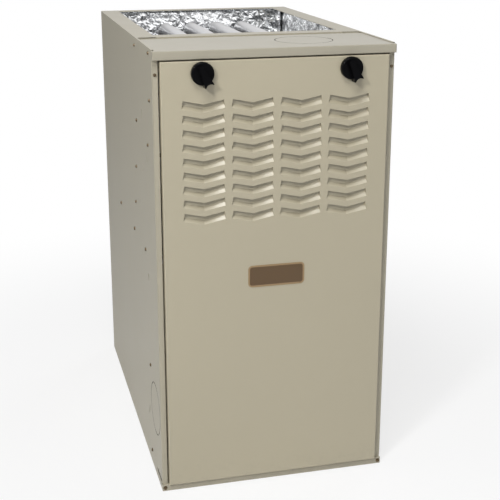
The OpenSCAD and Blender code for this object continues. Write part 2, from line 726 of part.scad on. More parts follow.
// Bracket that holds the burners by their throats
rack_x = cell_x[3] + 36;
rack_d = burner_mouth_d + burner_l * 0.25;
rack_z1 = first_pass_z + 34;
module burner_rack() color([0.68, 0.69, 0.71]) difference() {
    union() {
        block([-rack_x, rack_d, first_pass_z - 28], [rack_x, rack_d + 1.2, rack_z1]);
        block([-rack_x, rack_d, rack_z1 - 1.2], [rack_x, rack_d + 30, rack_z1]);
        both_sides() {
            block([-rack_x, rack_d, first_pass_z - 28], [-rack_x + 1.2, panel_d, rack_z1]);
            block([-rack_x - 10, panel_d - 1.2, first_pass_z - 28], [-rack_x + 1, panel_d, rack_z1]);
        }
    }
    for (x = cell_x) bar_y(burner_mouth_r * 0.64 + 1.25, rack_d - 1, rack_d + 2, x, first_pass_z);
    both_sides() block([-rack_x + 6, rack_d - 1, first_pass_z - 22],
        [-rack_x + 8, rack_d + 3, first_pass_z + 22]);
}

module igniter() color([0.92, 0.91, 0.87]) {
    x = rack_x - 1.2;
    block([x - 12, panel_d - 20, first_pass_z + 8], [x, panel_d - 8, first_pass_z + 20]);
    block([x - 18, panel_d - 15.5, first_pass_z + 10], [x - 11.9, panel_d - 12.5, first_pass_z + 18]);
}

module flame_sensor() color([0.90, 0.89, 0.86]) {
    x = -rack_x + 1.2;
    bar_x(4.5, x, x + 10, panel_d - 12, first_pass_z + 16);
    bar_x(1.2, x + 9, x + 17, panel_d - 12, first_pass_z + 16);
}

rollout_x = 60;
button_r = 3;
module rollout_switches() color([0.16, 0.16, 0.17]) difference() {
    union() for (x = [-rollout_x, rollout_x]) {
        bar_z(9, rack_z1, rack_z1 + 9, x, rack_d + 14);
        block([x - 14, rack_d + 9, rack_z1], [x + 14, rack_d + 19, rack_z1 + 1.2]);
        for (s = [-1, 1]) block([x + s * 6 - 0.5, rack_d + 11, rack_z1 + 8.9],
            [x + s * 6 + 0.5, rack_d + 17, rack_z1 + 15]);
    }
    bar_z(button_r + running_clearance, rack_z1 + 1.5, rack_z1 + 20, rollout_x, rack_d + 14);
}

module rollout_reset_button() color([0.75, 0.12, 0.10])
    bar_z(button_r, rack_z1 + 3.5, rack_z1 + 12, rollout_x, rack_d + 14);

module limit_switch() color([0.20, 0.20, 0.22]) {
    z = (first_pass_z + inducer_z) / 2 - 10;
    bar_y(11, panel_d - 14, panel_d - 1.2, 0, z);
    block([-20, panel_d - 1.2, z - 13], [20, panel_d, z + 13]);
    for (s = [-1, 1]) block([s * 5 - 0.5, panel_d - 21, z - 3], [s * 5 + 0.5, panel_d - 13.9, z + 3]);
}

// Pressure switch on a foot, which stands off the cell panel
switch_r = 34;
switch_x = left_x + 23 + switch_r;
switch_z = inducer_z - 45;
module pressure_switch() color([0.14, 0.14, 0.16]) {
    body_d = [panel_d - 30, panel_d - 18];
    foot_x = switch_r - 4;
    arm_x = foot_x * 0.66;
    foot_z = switch_z - switch_r - 6;
    bar_y(switch_r, body_d[0], body_d[1], switch_x, switch_z);
    bar_y(switch_r + 4, body_d[1] - 4, body_d[1] - 0.5, switch_x, switch_z);
    bar_y(switch_r * 0.47, body_d[0] - 8, body_d[0] + 0.1, switch_x, switch_z);
    bar_y(3, body_d[0] - 20, body_d[0] - 7.9, switch_x, switch_z);
    block([switch_x - foot_x, body_d[1] - 0.5, foot_z],
        [switch_x + foot_x, panel_d - sheet_t, foot_z + 4]);
    block([switch_x - arm_x, body_d[1] - 1, foot_z], [switch_x + arm_x, body_d[1] + 0.5, switch_z]);
    block([switch_x - foot_x, panel_d - sheet_t, foot_z], [switch_x + foot_x, panel_d, switch_z + 20]);
}

// Blower, hung under the deck

inlet_r = wheel_r * 0.87;
bell_r = 8;

module blower_housing() color([0.72, 0.73, 0.75]) {
    t = 1.2;
    top = deck_z - blower_z;
    half_w = housing_w / 2;
    difference() {
        translate([0, front_y + blower_y, blower_z]) {
            upright_y(-half_w, housing_w) volute(scroll_r0, scroll_r1, top, t);
            for (x = [-half_w, half_w - t]) upright_y(x, t) volute(scroll_r0, scroll_r1, top, 0);
        }
        bar_x(inlet_r + bell_r - 1, -half_w - 1, half_w + 1, blower_y, blower_z);
    }
    both_sides() translate([-half_w, front_y + blower_y, blower_z]) rotate([0, 90, 0])
        rotate_extrude($fn = 72) translate([inlet_r + bell_r, bell_r]) difference() {
            intersection() {
                circle(bell_r);
                translate([-bell_r, -bell_r]) square(bell_r);
            }
            circle(bell_r - t);
        }
}

module blower_wheel() color([0.80, 0.81, 0.82]) {
    ring_t = 3;
    half_w = wheel_w / 2;
    difference() {
        union() {
            for (x = [-half_w, half_w - ring_t]) translate([x, front_y + blower_y, blower_z])
                rotate([0, 90, 0]) linear_extrude(ring_t) difference() {
                    circle(wheel_r, $fn = 96);
                    circle(wheel_r - 4, $fn = 96);
                }
            translate([0, front_y + blower_y, blower_z]) upright_y(-half_w + 1, wheel_w - 2)
                for (i = [0 : wheel_blades - 1]) rotate(i * 360 / wheel_blades)
                    translate([wheel_r - 12, 0]) rotate(25) blade_arc(20, 21);
            bar_x(wheel_r - 12, -1, 1, blower_y, blower_z);
            bar_x(20, -20, 20, blower_y, blower_z);
        }
        bar_x(shaft_r + 0.01, -30, 30, blower_y, blower_z);
    }
}

// A blade's section: a thin arc of radius r over a chord of length w
module blade_arc(r, w) translate([0, -sqrt(r * r - w * w / 4)]) intersection() {
    difference() {
        circle(r);
        circle(r - 1);
    }
    translate([-w / 2, 0]) square([w, r + 1]);
}

motor_x0 = 24;
motor_x1 = motor_x0 + motor_l;
module blower_shaft() color(steel) bar_x(shaft_r, -24, motor_x0 + 30, blower_y, blower_z);

module blower_motor() color([0.16, 0.17, 0.18]) difference() {
    union() {
        bar_x(motor_r, motor_x0 + 10, motor_x1 - 8, blower_y, blower_z);
        bar_x(motor_r - 8, motor_x0 + 4, motor_x1, blower_y, blower_z);
        bar_x(motor_r - 30, motor_x0, motor_x1 + 4, blower_y, blower_z);
    }
    bar_x(shaft_r + running_clearance, motor_x0 - 1, motor_x0 + 31, blower_y, blower_z);
}

// Belly band round the motor, with three arms to the blower housing
module motor_mount() color(steel) {
    band_w = 16;
    plate_x = housing_w / 2;
    band_x = plate_x + 10;
    difference() {
        bar_x(motor_r + 3, band_x, band_x + band_w, blower_y, blower_z);
        bar_x(motor_r + 0.1, band_x - 1, band_x + band_w + 1, blower_y, blower_z);
    }
    for (a = [90, 210, 330]) translate([band_x, front_y + blower_y, blower_z]) rotate([a, 0, 0]) {
        translate([0, -6, motor_r + 2]) cube([3, 12, inlet_r + 16 - motor_r]);
        translate([plate_x - band_x, -6, inlet_r + 10]) cube([band_x - plate_x + 3, 12, 8]);
    }
}

// Controls, in front of the blower

control_d = 70;
bracket_w = casing_w * 0.3375;
bracket_h = 150;
bracket_l = 40;
control_x = left_x + 17 + bracket_w / 2;
control_z0 = deck_z - bracket_h;
transformer_w = 56;
transformer_x = control_x + bracket_w / 2 + 15 + transformer_w / 2;
can_r = 19;
can_x = transformer_x + transformer_w / 2 + 25 + can_r;

module run_capacitor() color([0.55, 0.56, 0.58]) {
    can_z0 = deck_z - 5 * can_r;
    can_z1 = deck_z - can_r - 6;
    bar_z(can_r, can_z0, can_z1, can_x, control_d);
    bar_z(can_r + 1, can_z1 - 4, can_z1 + 1, can_x, control_d);
    for (s = [-1, 1]) block([can_x + s * 8 - 0.5, control_d - 4, can_z0 - 8],
        [can_x + s * 8 + 0.5, control_d + 4, can_z0 + 0.1]);
    block([can_x - 8, control_d + can_r - 1, can_z1 - 35],
        [can_x + 8, control_d + can_r + 3, deck_z]);
}

module control_bracket() color([0.70, 0.71, 0.72]) {
    x0 = control_x - bracket_w / 2;
    x1 = control_x + bracket_w / 2;
    block([x0, control_d, control_z0], [x1, control_d + sheet_t, deck_z]);
    block([x0, control_d, deck_z - sheet_t], [x1, control_d + bracket_l, deck_z]);
    for (x = [x0, x1 - sheet_t])
        block([x, control_d, control_z0], [x + sheet_t, control_d + bracket_l, deck_z]);
}

module control_board() color([0.10, 0.38, 0.20]) {
    board_w = bracket_w - 14;
    board_h = bracket_h - 40;
    board_t = 1.6;
    stand = 8;
    face = control_d - stand;
    x0 = control_x - board_w / 2;
    z0 = control_z0 + 12;
    block([x0, face, z0], [x0 + board_w, face + board_t, z0 + board_h]);
    for (x = [x0 + 6, x0 + board_w - 6], z = [z0 + 6, z0 + board_h - 6])
        bar_y(2.5, face + board_t, control_d, x, z);
    relay_w = board_w / 4 - 12;
    for (i = [0 : 3]) translate([x0 + 12 + i * (relay_w + 8), front_y + face - 15, z0 + board_h * 0.56])
        cube([relay_w, 15, 16]);
    block([x0 + 10, face - 12, z0 + board_h - 20], [x0 + board_w / 2, face, z0 + board_h - 10]);
    terminal_w = 7;
    for (i = [0 : 5]) translate([x0 + 14 + i * (terminal_w + 2), front_y + face - 8, z0 + 8])
        cube([terminal_w, 8, 10]);
    block([x0 + board_w - 36, face - 10, z0 + 30], [x0 + board_w - 14, face, z0 + 50]);
    for (x = [30, 50]) bar_y(6, face - 18, face, x0 + x, z0 + 40);
}

module transformer() color([0.25, 0.25, 0.27]) {
    core_x = [transformer_x - transformer_w / 2, transformer_x + transformer_w / 2];
    core_z = [deck_z - transformer_w * 1.25, deck_z - transformer_w / 4];
    core_d = [control_d - 20, control_d + 22];
    coil = 6;
    block([core_x[0], core_d[0], core_z[0]], [core_x[1], core_d[1], core_z[1]]);
    block([core_x[0] + coil, core_d[0] - 10, core_z[0] + coil + 2],
        [core_x[1] - coil, core_d[1] + 10, core_z[1] - coil - 2]);
    block([core_x[0] - coil, core_d[1] - coil, core_z[1]], [core_x[1] + coil, core_d[1], deck_z]);
}

switch_body_x = deck_screw_x;
switch_body_z = deck_z - 24;
plunger_r = 3;
switch_body_d = blower_door_d + 16;
module door_switch() color(dark) difference() {
    union() {
        block([switch_body_x - 8, switch_body_d, switch_body_z - 14],
            [switch_body_x + 8, switch_body_d + 20, switch_body_z + 12]);
        block([switch_body_x - 14, switch_body_d, switch_body_z + 10],
            [switch_body_x + 14, switch_body_d + 14, deck_z]);
        bar_y(5, switch_body_d - 2, switch_body_d + 1, switch_body_x, switch_body_z);
        for (s = [-1, 1]) block([switch_body_x - 3, switch_body_d + 19.9, switch_body_z + s * 6 - 0.4],
            [switch_body_x + 3, switch_body_d + 28, switch_body_z + s * 6 + 0.4]);
    }
    bar_y(plunger_r + running_clearance, switch_body_d - 3, switch_body_d + 12,
        switch_body_x, switch_body_z);
}

module door_switch_plunger() color([0.75, 0.12, 0.10])
    bar_y(plunger_r, blower_door_d + sheet_t + 0.1, switch_body_d + 8, switch_body_x, switch_body_z);

box_w = 55;
box_h = 100;
box_from_top = 86;
box_z1 = top_z - box_from_top;
box_z0 = box_z1 - box_h;
box_d = [24, 70];
module junction_box() color([0.66, 0.67, 0.68]) {
    x = -wall_x + box_w;
    difference() {
        block([-wall_x, box_d[0], box_z0], [x, box_d[1], box_z1]);
        block([-wall_x + sheet_t, box_d[0] + sheet_t, box_z0 + sheet_t],
            [x + 1, box_d[1] - sheet_t, box_z1 - sheet_t]);
        side_screw_holes(6);
    }
    difference() {
        block([x, box_d[0] - 3, box_z0 - 3], [x + sheet_t, box_d[1] + 3, box_z1 + 3]);
        bar_x(screw_r + screw_clearance, x - 5, x + 5, (box_d[0] + box_d[1]) / 2, box_z1 - 8);
    }
}

// A round bundle that follows points given as [x, depth, z]
bundle_sides = 8;
function unit(v) = v / norm(v);
function smooth_point(p, i, t) =
    let (n = len(p) - 1, a = p[max(i - 1, 0)], b = p[i], c = p[min(i + 1, n)], e = p[min(i + 2, n)])
    0.5 * (2 * b + (c - a) * t + (2 * a - 5 * b + 4 * c - e) * t * t
        + (3 * b - a - 3 * c + e) * t * t * t);
function smooth_route(p, steps) = concat(
    [for (i = [0 : len(p) - 2], s = [0 : steps - 1]) smooth_point(p, i, s / steps)],
    [p[len(p) - 1]]);
module bundle(points, r, steps) {
    route = smooth_route(points, steps);
    n = len(route);
    rings = [for (i = [0 : n - 1])
        let (t = unit(route[min(i + 1, n - 1)] - route[max(i - 1, 0)]),
            u = unit(cross(t, abs(t[0]) < 0.8 ? [1, 0, 0] : [0, 1, 0])), v = cross(t, u))
        for (k = [0 : bundle_sides - 1]) let (a = k * 360 / bundle_sides)
            route[i] + r * (cos(a) * u + sin(a) * v)];
    sides = [for (i = [0 : n - 2], k = [0 : bundle_sides - 1])
        let (m = (k + 1) % bundle_sides, a = i * bundle_sides, b = (i + 1) * bundle_sides)
        [a + k, a + m, b + m, b + k]];
    caps = [[for (k = [bundle_sides - 1 : -1 : 0]) k],
        [for (k = [0 : bundle_sides - 1]) (n - 1) * bundle_sides + k]];
    translate([0, front_y, 0]) polyhedron(rings, concat(sides, caps), convexity = 6);
}

harness_x = left_x + 32;
harness_box_d = 48;
harness_d = 122;
harness_end_z = 362;
harness_r = 5;
harness_points = [[harness_x, harness_box_d, box_z0], [harness_x, harness_box_d, box_z0 - 12],
    [harness_x, harness_box_d, box_z0 - 24], [harness_x, harness_d - 35, box_z0 - 70],
    [harness_x, harness_d, deck_z + 90], [harness_x, harness_d, deck_z + 30],
    [harness_x, harness_d, deck_z - 20], [harness_x + 4, harness_d - 6, harness_end_z + 14],
    [harness_x + 6, control_d + 30, harness_end_z], [harness_x + 6, control_d + 14, harness_end_z],
    [harness_x + 6, control_d + sheet_t + 0.1, harness_end_z]];
module wiring_harness() color([0.13, 0.13, 0.14]) bundle(harness_points, harness_r, 4);

// Panel over the blower compartment
module blower_door() color([0.70, 0.69, 0.64]) {
    x = wall_x - 1;
    z0 = base_rail_h + seat_gap;
    back = blower_door_d + sheet_t;
    lip_d = back - blower_door_lip - sheet_t;
    difference() {
        union() {
            block([-x, blower_door_d, z0], [x, back, blower_door_z1]);
            block([-x, lip_d, z0], [x, back, z0 + sheet_t]);
            block([-x + post_w + 2, lip_d, blower_door_z1 - sheet_t],
                [x - post_w - 2, back, blower_door_z1]);
        }
        for (s = [-1, 1])
            bar_y(screw_r + screw_clearance, blower_door_d - 1, back + 1, s * deck_screw_x, deck_screw_z);
    }
    rib_x = 0.42 * x;
    rib_h = 12;
    for (z = [0.28, 0.68] * blower_door_z1) difference() {
        block([-rib_x, blower_door_d - 2, z], [rib_x, blower_door_d + 0.1, z + rib_h]);
        block([-rib_x + 3, blower_door_d - 3, z + 2], [rib_x - 3, blower_door_d - 1, z + rib_h - 2]);
    }
}

// Door: a louvred pan between the posts, under the cap

louvre_x = [for (i = [0 : 3]) (i - 1.5) * louvre_spacing];
louvre_z = [for (i = [0 : louvre_rows - 1]) door_z1 - louvre_from_top - i * louvre_pitch];
louvre_end = 2.5;
louvre_angle = atan(louvre_drop / (louvre_w / 2));
stem_hole_r = stem_r + running_clearance;

module louvre_outline() polygon([[-louvre_w / 2, 0], [0, -louvre_drop], [louvre_w / 2, 0],
    [louvre_w / 2 + louvre_end, -louvre_h], [0, -louvre_drop - louvre_h],
    [-louvre_w / 2 - louvre_end, -louvre_h]]);

// Right half of a louvre: a blade that leans in towards its top, and a wall at its end.
// Its own x runs from the middle, y into the door, and z up from the top edge's end.
module half_louvre() {
    reach = louvre_w / 2 + louvre_end;
    lap = 0.8;
    slant = louvre_h * cos(louvre_angle);
    intersection() {
        translate([0, 0, -louvre_drop]) rotate([0, -louvre_angle, 0]) rotate([90, 0, 90])
            translate([0, 0, -5]) linear_extrude(reach + 10) polygon([[0, -slant - lap],
                [sheet_t, -slant - lap], [louvre_press + sheet_t, 0], [louvre_press, 0]]);
        translate([0, -1, -louvre_drop - louvre_h - 2])
            cube([reach - 0.6, louvre_press + sheet_t + 2, louvre_drop + louvre_h + 3]);
    }
    translate([louvre_w / 2, 0, 0]) rotate([0, -atan(louvre_end / louvre_h), 0])
        translate([-sheet_t + 0.2, 0.1, 0]) rotate([90, 0, 90]) linear_extrude(sheet_t)
            polygon([[0, -louvre_h - lap], [0, 0.2], [louvre_press + 0.7 * sheet_t, 0.2],
                [0.7 * sheet_t, -louvre_h - lap]]);
}

module louvre() {
    half_louvre();
    mirror([1, 0, 0]) half_louvre();
}

module door_panel() color([0.70, 0.67, 0.58]) {
    half_w = door_w / 2;
    difference() {
        upright_x(face_d, sheet_t) difference() {
            translate([-half_w, door_z0]) square([door_w, door_z1 - door_z0]);
            for (x = louvre_x, z = louvre_z) translate([x, z]) louvre_outline();
        }
        for (s = [-1, 1])
            bar_y(stem_hole_r, face_d - 1, face_d + 2, s * knob_x, knob_z);
    }
    for (x = louvre_x, z = louvre_z) translate([x, front_y + face_d, z]) louvre();
    both_sides() {
        block([-half_w, face_d, door_z0], [-half_w + sheet_t, face_d + door_return, door_z1]);
        block([-half_w, face_d + door_return - sheet_t, door_z0 + 30],
            [-half_w + 12, face_d + door_return, door_z1 - 14]);
    }
    block([-half_w, face_d, door_z1 - sheet_t], [half_w, face_d + door_return, door_z1]);
    block([-half_w, face_d, door_z0], [half_w, face_d + door_return, door_z0 + sheet_t]);
}

module badge_plate() color([0.38, 0.29, 0.19])
    at_depth(face_d) translate([0, 0, badge_z]) rotate([90, 0, 0])
        linear_extrude(plate_t) rounded_rect(badge_w, badge_h, 8);

// Latch knob: a disc with a raised grip that flares to a notched tail
module latch_knob(s) color([0.06, 0.06, 0.07]) {
    base_t = 7;
    tail_r = 6;
    grip_l = knob_r + 5;
    grip_lean = 25;
    translate([s * knob_x, front_y + face_d, knob_z]) rotate([90, -grip_lean, 0]) {
        cylinder(r = knob_r, h = base_t, $fn = 72);
        translate([0, 0, base_t - 0.1]) cylinder(r1 = knob_r, r2 = knob_r - 2.5, h = 2.6, $fn = 72);
        linear_extrude(knob_proud) difference() {
            union() {
                polygon([[-4.5, knob_r * 0.75], [4.5, knob_r * 0.75], [5.5, 0], [9.5, -grip_l],
                    [-9.5, -grip_l], [-5.5, 0]]);
                translate([0, knob_r * 0.75 - 1]) circle(4.7);
            }
            translate([0, -grip_l - tail_r + 2.5]) circle(9);
        }
    }
    bar_y(stem_r, face_d - 0.5, cam_d, s * knob_x, knob_z);
}

module left_latch_knob() latch_knob(-1);
module right_latch_knob() latch_knob(1);

// Latch cam: a tongue on the knob's stem that turns up behind the cap's keeper
module latch_cam(s) color(steel) difference() {
    union() {
        bar_y(8, cam_d, cam_d + cam_t, s * knob_x, knob_z);
        translate([s * knob_x, front_y + cam_d + cam_t, knob_z]) rotate([90, 0, 0])
            linear_extrude(cam_t) {
                polygon([[0, -7], [cam_l - 4, -5], [cam_l - 4, 5], [0, 7]]);
                translate([cam_l - 5, 0]) circle(5);
            }
    }
    bar_y(1.6, cam_d - 1, cam_d + cam_t + 1, s * knob_x, knob_z);
}

module left_latch_cam() latch_cam(-1);
module right_latch_cam() latch_cam(1);

// Fasteners: hex washer heads on short shanks

screw_l = 7;
module screw_head(r) {
    cylinder(r = r, h = 0.8);
    cylinder(r = r * 0.72, h = 2.6, $fn = 6);
    mirror([0, 0, 1]) cylinder(r = screw_r, h = screw_l);
}

module casing_screws() color([0.45, 0.36, 0.26]) {
    for (s = side_screws) {
        translate([left_x, front_y + s[0], s[1]]) rotate([0, -90, 0]) screw_head(s[2]);
        if (s[3]) translate([right_x, front_y + s[0], s[1]]) rotate([0, 90, 0]) screw_head(s[2]);
    }
    both_sides() translate([left_x + post_w / 2, front_y - base_rail_proud, base_rail_h / 2])
        rotate([90, 0, 0]) screw_head(4);
    both_sides() translate([left_x + post_w / 2, front_y, post_screw_z]) rotate([90, 0, 0])
        screw_head(3);
    for (s = [-1, 1]) translate([s * deck_screw_x, front_y + blower_door_d, deck_screw_z])
        rotate([90, 0, 0]) screw_head(4.2);
}

// Air filter on the bottom flanges, and the wire that holds it down

module return_filter() color([0.86, 0.88, 0.90]) {
    border = 18;
    difference() {
        block([-filter_w / 2, filter_d, lip_z], [filter_w / 2, filter_d + filter_l, lip_z + filter_t]);
        block([-filter_w / 2 + border, filter_d + border, lip_z - 1],
            [filter_w / 2 - border, filter_d + filter_l - border, lip_z + filter_t + 1]);
    }
    pleats = 34;
    pitch = (filter_l - 2 * border) / pleats;
    rise = filter_t - 4;
    translate([filter_w / 2 - border + 1, front_y + filter_d + border, lip_z + 2]) rotate([90, 0, -90])
        linear_extrude(filter_w - 2 * border + 2) polygon(concat(
            [for (i = [0 : 2 * pleats]) [-i * pitch / 2, i % 2 == 0 ? 0 : rise - 1.5]],
            [for (i = [2 * pleats : -1 : 0]) [-i * pitch / 2, i % 2 == 0 ? 1.5 : rise]]));
}

module filter_retainer() color(steel) {
    wire_r = 2;
    wire_z = lip_z + filter_t + wire_r;
    x = filter_w / 2 - 12;
    d0 = filter_d + 60;
    d1 = filter_d + filter_l - 60;
    bar_x(wire_r, -x, x, d0, wire_z);
    bar_x(wire_r, -x, x, d1, wire_z);
    for (s = [-1, 1]) {
        bar_y(wire_r, d0, d1, s * x, wire_z);
        translate([s * x, front_y + d0, wire_z]) sphere(wire_r);
        translate([s * x, front_y + d1, wire_z]) sphere(wire_r);
    }
}

casing_wrap();
top_cap();
outlet_front_rail();
cell_panel();
blower_deck();
base_rail();
foil_liner_left();
foil_liner_right();
foil_liner_back();
exchanger_cell_1();
exchanger_cell_2();
exchanger_cell_3();
exchanger_cell_4();
collector_box();
inducer_housing();
inducer_wheel();
inducer_shaft();
inducer_cooling_fan();
inducer_motor();
vent_collar();
gas_manifold();
gas_orifices();
gas_valve();
gas_valve_knob();
burner_1();
burner_2();
burner_3();
burner_4();
burner_rack();
igniter();
flame_sensor();
rollout_switches();
rollout_reset_button();
limit_switch();
pressure_switch();
blower_housing();
blower_wheel();
blower_shaft();
blower_motor();
motor_mount();
run_capacitor();
control_bracket();
control_board();
transformer();
door_switch();
door_switch_plunger();
junction_box();
wiring_harness();
blower_door();
door_panel();
badge_plate();
left_latch_knob();
right_latch_knob();
left_latch_cam();
right_latch_cam();
casing_screws();
return_filter();
filter_retainer();
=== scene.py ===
# Forced air gas furnace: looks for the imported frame
import json
import math

import bmesh
import bpy
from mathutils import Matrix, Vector


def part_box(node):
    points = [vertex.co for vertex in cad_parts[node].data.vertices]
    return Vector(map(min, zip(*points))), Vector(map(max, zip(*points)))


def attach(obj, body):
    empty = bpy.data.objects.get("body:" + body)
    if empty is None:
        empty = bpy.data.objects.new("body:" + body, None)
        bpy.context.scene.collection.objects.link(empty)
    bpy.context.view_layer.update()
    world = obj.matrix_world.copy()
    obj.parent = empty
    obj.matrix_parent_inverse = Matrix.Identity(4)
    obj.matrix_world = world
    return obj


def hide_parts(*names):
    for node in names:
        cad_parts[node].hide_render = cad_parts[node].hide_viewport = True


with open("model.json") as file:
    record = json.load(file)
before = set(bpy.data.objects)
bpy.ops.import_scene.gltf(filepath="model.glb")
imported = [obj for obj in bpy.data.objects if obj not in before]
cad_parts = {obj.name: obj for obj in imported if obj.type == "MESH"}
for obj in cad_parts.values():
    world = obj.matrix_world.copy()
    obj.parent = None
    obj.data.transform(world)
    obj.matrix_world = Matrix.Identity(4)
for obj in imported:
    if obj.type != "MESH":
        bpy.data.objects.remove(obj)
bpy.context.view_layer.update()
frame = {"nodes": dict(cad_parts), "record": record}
bpy.ops.object.select_all(action="DESELECT")
print("frame loaded:", len(frame["nodes"]), "nodes")

# Camera: the photograph's own viewing angle
cameraSettings = {
    "place": (-0.5089, -2.1478, 1.0821),
    "lens": 76.41,
    "sensor": 36,
    "lookDown": 16.506,
    "turn": 14.356,
    "shift": -0.06,
    "clip": (0.05, 80),
}


def makeCamera(s):
    data = bpy.data.cameras.new("photoCamera")
    data.lens = s["lens"]
    data.sensor_width = s["sensor"]
    data.shift_y = s["shift"]
    data.clip_start, data.clip_end = s["clip"]
    camera = bpy.data.objects.new("photoCamera", data)
    bpy.context.scene.collection.objects.link(camera)
    camera.location = s["place"]
    camera.rotation_euler = (math.radians(90 - s["lookDown"]), 0, math.radians(-s["turn"]))
    bpy.context.scene.camera = camera


makeCamera(cameraSettings)

# Node helpers: a node with its values, and the small sums that the finishes are made of


def addNode(tree, kind, **values):  # in_Some_Name=value sets an input, and anything else a property
    node = tree.nodes.new("ShaderNode" + kind)
    for name, value in values.items():
        if name.startswith("in_"):
            node.inputs[name[3:].replace("_", " ")].default_value = value
        else:
            setattr(node, name, value)
    return node


def feed(tree, socket, value):  # a socket takes a plain value or another socket's output
    if isinstance(value, bpy.types.NodeSocket):
        tree.links.new(value, socket)
    else:
        socket.default_value = value


def addMath(tree, operation, first, second):
    node = addNode(tree, "Math", operation=operation)
    for socket, value in zip(node.inputs, (first, second)):
        feed(tree, socket, value)
    return node.outputs[0]


def addMix(tree, factor, first, second, blend="MIX"):
    node = addNode(tree, "Mix", data_type="RGBA", blend_type=blend)
    for socket, value in zip((node.inputs[0], node.inputs[6], node.inputs[7]), (factor, first, second)):
        feed(tree, socket, value)
    return node.outputs[2]


def addNoise(tree, vector, scale, detail, roughness=0.5):
    node = addNode(tree, "TexNoise", in_Detail=detail, in_Roughness=roughness)
    tree.links.new(vector, node.inputs["Vector"])
    feed(tree, node.inputs["Scale"], scale)
    return node.outputs["Fac"]


def addRange(tree, value, low, high):  # nought below the range, one above it
    node = addNode(tree, "MapRange", clamp=True, in_From_Min=low, in_From_Max=high)
    tree.links.new(value, node.inputs["Value"])
    return node.outputs["Result"]


# Studio: a pale floor, soft lamps and a surround that is white to the camera and to mirrors
studioSettings = {
    "target": (0, 0, 0.5),
    "lamps": {  # watts, size, place
        "keyLamp": (80, 0.5, (-2.45, -2.75, 2.7)),
        "fillLamp": (7.5, 2.4, (1.3, -3.6, 1.2)),
        "topLamp": (66, 1.3, (-0.7, -1.8, 3.5)),
        "backLamp": (95, 1.8, (3.3, 3.4, 1.0)),
    },
    "surroundLight": 0.18,
    "surroundColour": (0.93, 0.96, 1.0, 1),
    "floorColour": (0.86, 0.86, 0.86, 1),
    "floorSize": 60,
    "footprint": (0.221, 0.345),
    "whiteNear": 0.72, "fadeFrom": 0.4, "fadeTo": 1.5,  # how much of the floor is plain white to the camera
}


def addLamp(name, energy, size, place, target):
    data = bpy.data.lights.new(name, "AREA")
    data.energy, data.size = energy, size
    lamp = bpy.data.objects.new(name, data)
    bpy.context.scene.collection.objects.link(lamp)
    lamp.location = place
    lamp.rotation_euler = (Vector(target) - Vector(place)).to_track_quat("-Z", "Y").to_euler()


def sightMask(tree, names):  # one for the named kinds of ray, nought for the rest
    path = addNode(tree, "LightPath")
    value = path.outputs[names[0]]
    for name in names[1:]:
        value = addMath(tree, "MAXIMUM", value, path.outputs[name])
    return value


def mixToOutput(tree, share, first, second, output):
    mix, out = addNode(tree, "MixShader"), addNode(tree, output)
    for socket, value in zip(mix.inputs, (share, first.outputs[0], second.outputs[0])):
        tree.links.new(value, socket)
    tree.links.new(mix.outputs[0], out.inputs["Surface"])


def makeWorld(s):
    world = bpy.data.worlds.new("studioWorld")
    bpy.context.scene.world = world
    world.use_nodes = True
    tree = world.node_tree
    tree.nodes.clear()
    soft = addNode(tree, "Background", in_Color=s["surroundColour"], in_Strength=s["surroundLight"])
    white = addNode(tree, "Background", in_Color=(1, 1, 1, 1))
    mask = sightMask(tree, ["Is Camera Ray", "Is Glossy Ray", "Is Transmission Ray"])
    mixToOutput(tree, mask, soft, white, "OutputWorld")


def whiteShare(tree, s):  # nothing under the object, some beside it for its shadow, and all further out
    place = addNode(tree, "TexCoord").outputs["Object"]
    axes, distance = addNode(tree, "SeparateXYZ"), addNode(tree, "VectorMath", operation="LENGTH")
    tree.links.new(place, axes.inputs[0])
    tree.links.new(place, distance.inputs[0])
    beyond = [addMath(tree, "GREATER_THAN", addMath(tree, "ABSOLUTE", axes.outputs[axis], 0), half)
              for axis, half in zip(("X", "Y"), s["footprint"])]
    fade = addNode(tree, "MapRange", interpolation_type="SMOOTHSTEP", in_From_Min=s["fadeFrom"],
                   in_From_Max=s["fadeTo"], in_To_Min=s["whiteNear"], in_To_Max=1)
    tree.links.new(distance.outputs["Value"], fade.inputs["Value"])
    return addMath(tree, "MULTIPLY", addMath(tree, "MAXIMUM", *beyond), fade.outputs["Result"])


def makeFloor(s):
    bpy.ops.mesh.primitive_plane_add(size=s["floorSize"], location=(0, 0, 0))
    floor = bpy.context.object
    floor.name = "studioFloor"
    material = bpy.data.materials.new("floorPale")
    material.use_nodes = True
    tree = material.node_tree
    tree.nodes.clear()
    pale, white = addNode(tree, "BsdfDiffuse", in_Color=s["floorColour"]), addNode(tree, "Emission")
    share = addMath(tree, "MULTIPLY", sightMask(tree, ["Is Camera Ray"]), whiteShare(tree, s))
    mixToOutput(tree, share, pale, white, "OutputMaterial")
    floor.data.materials.append(material)


for lampName, (watts, lampSize, lampPlace) in studioSettings["lamps"].items():
    addLamp(lampName, watts, lampSize, lampPlace, studioSettings["target"])
makeWorld(studioSettings)
makeFloor(studioSettings)
bpy.context.scene.view_settings.view_transform = "Standard"
print("studio made")

# Shader groups: effects that several finishes share, each with its own values
groupSettings = {
    "cloudNoise": (4, 0.6), "grainNoise": (2, 0.5),  # detail, roughness
    "dustNoise": (14, 5, 0.65), "scuffNoise": (60, 6, 0.7),  # scale, detail, roughness
    "dustRange": (0.35, 0.75), "facingUp": (0.6, 0.95), "scuffRange": (0.5, 0.72),
    "wobbleScale": 30.0, "wobbleDetail": 2.0, "wobbleReach": 0.012,
}
colour, number = "NodeSocketColor", "NodeSocketFloat"


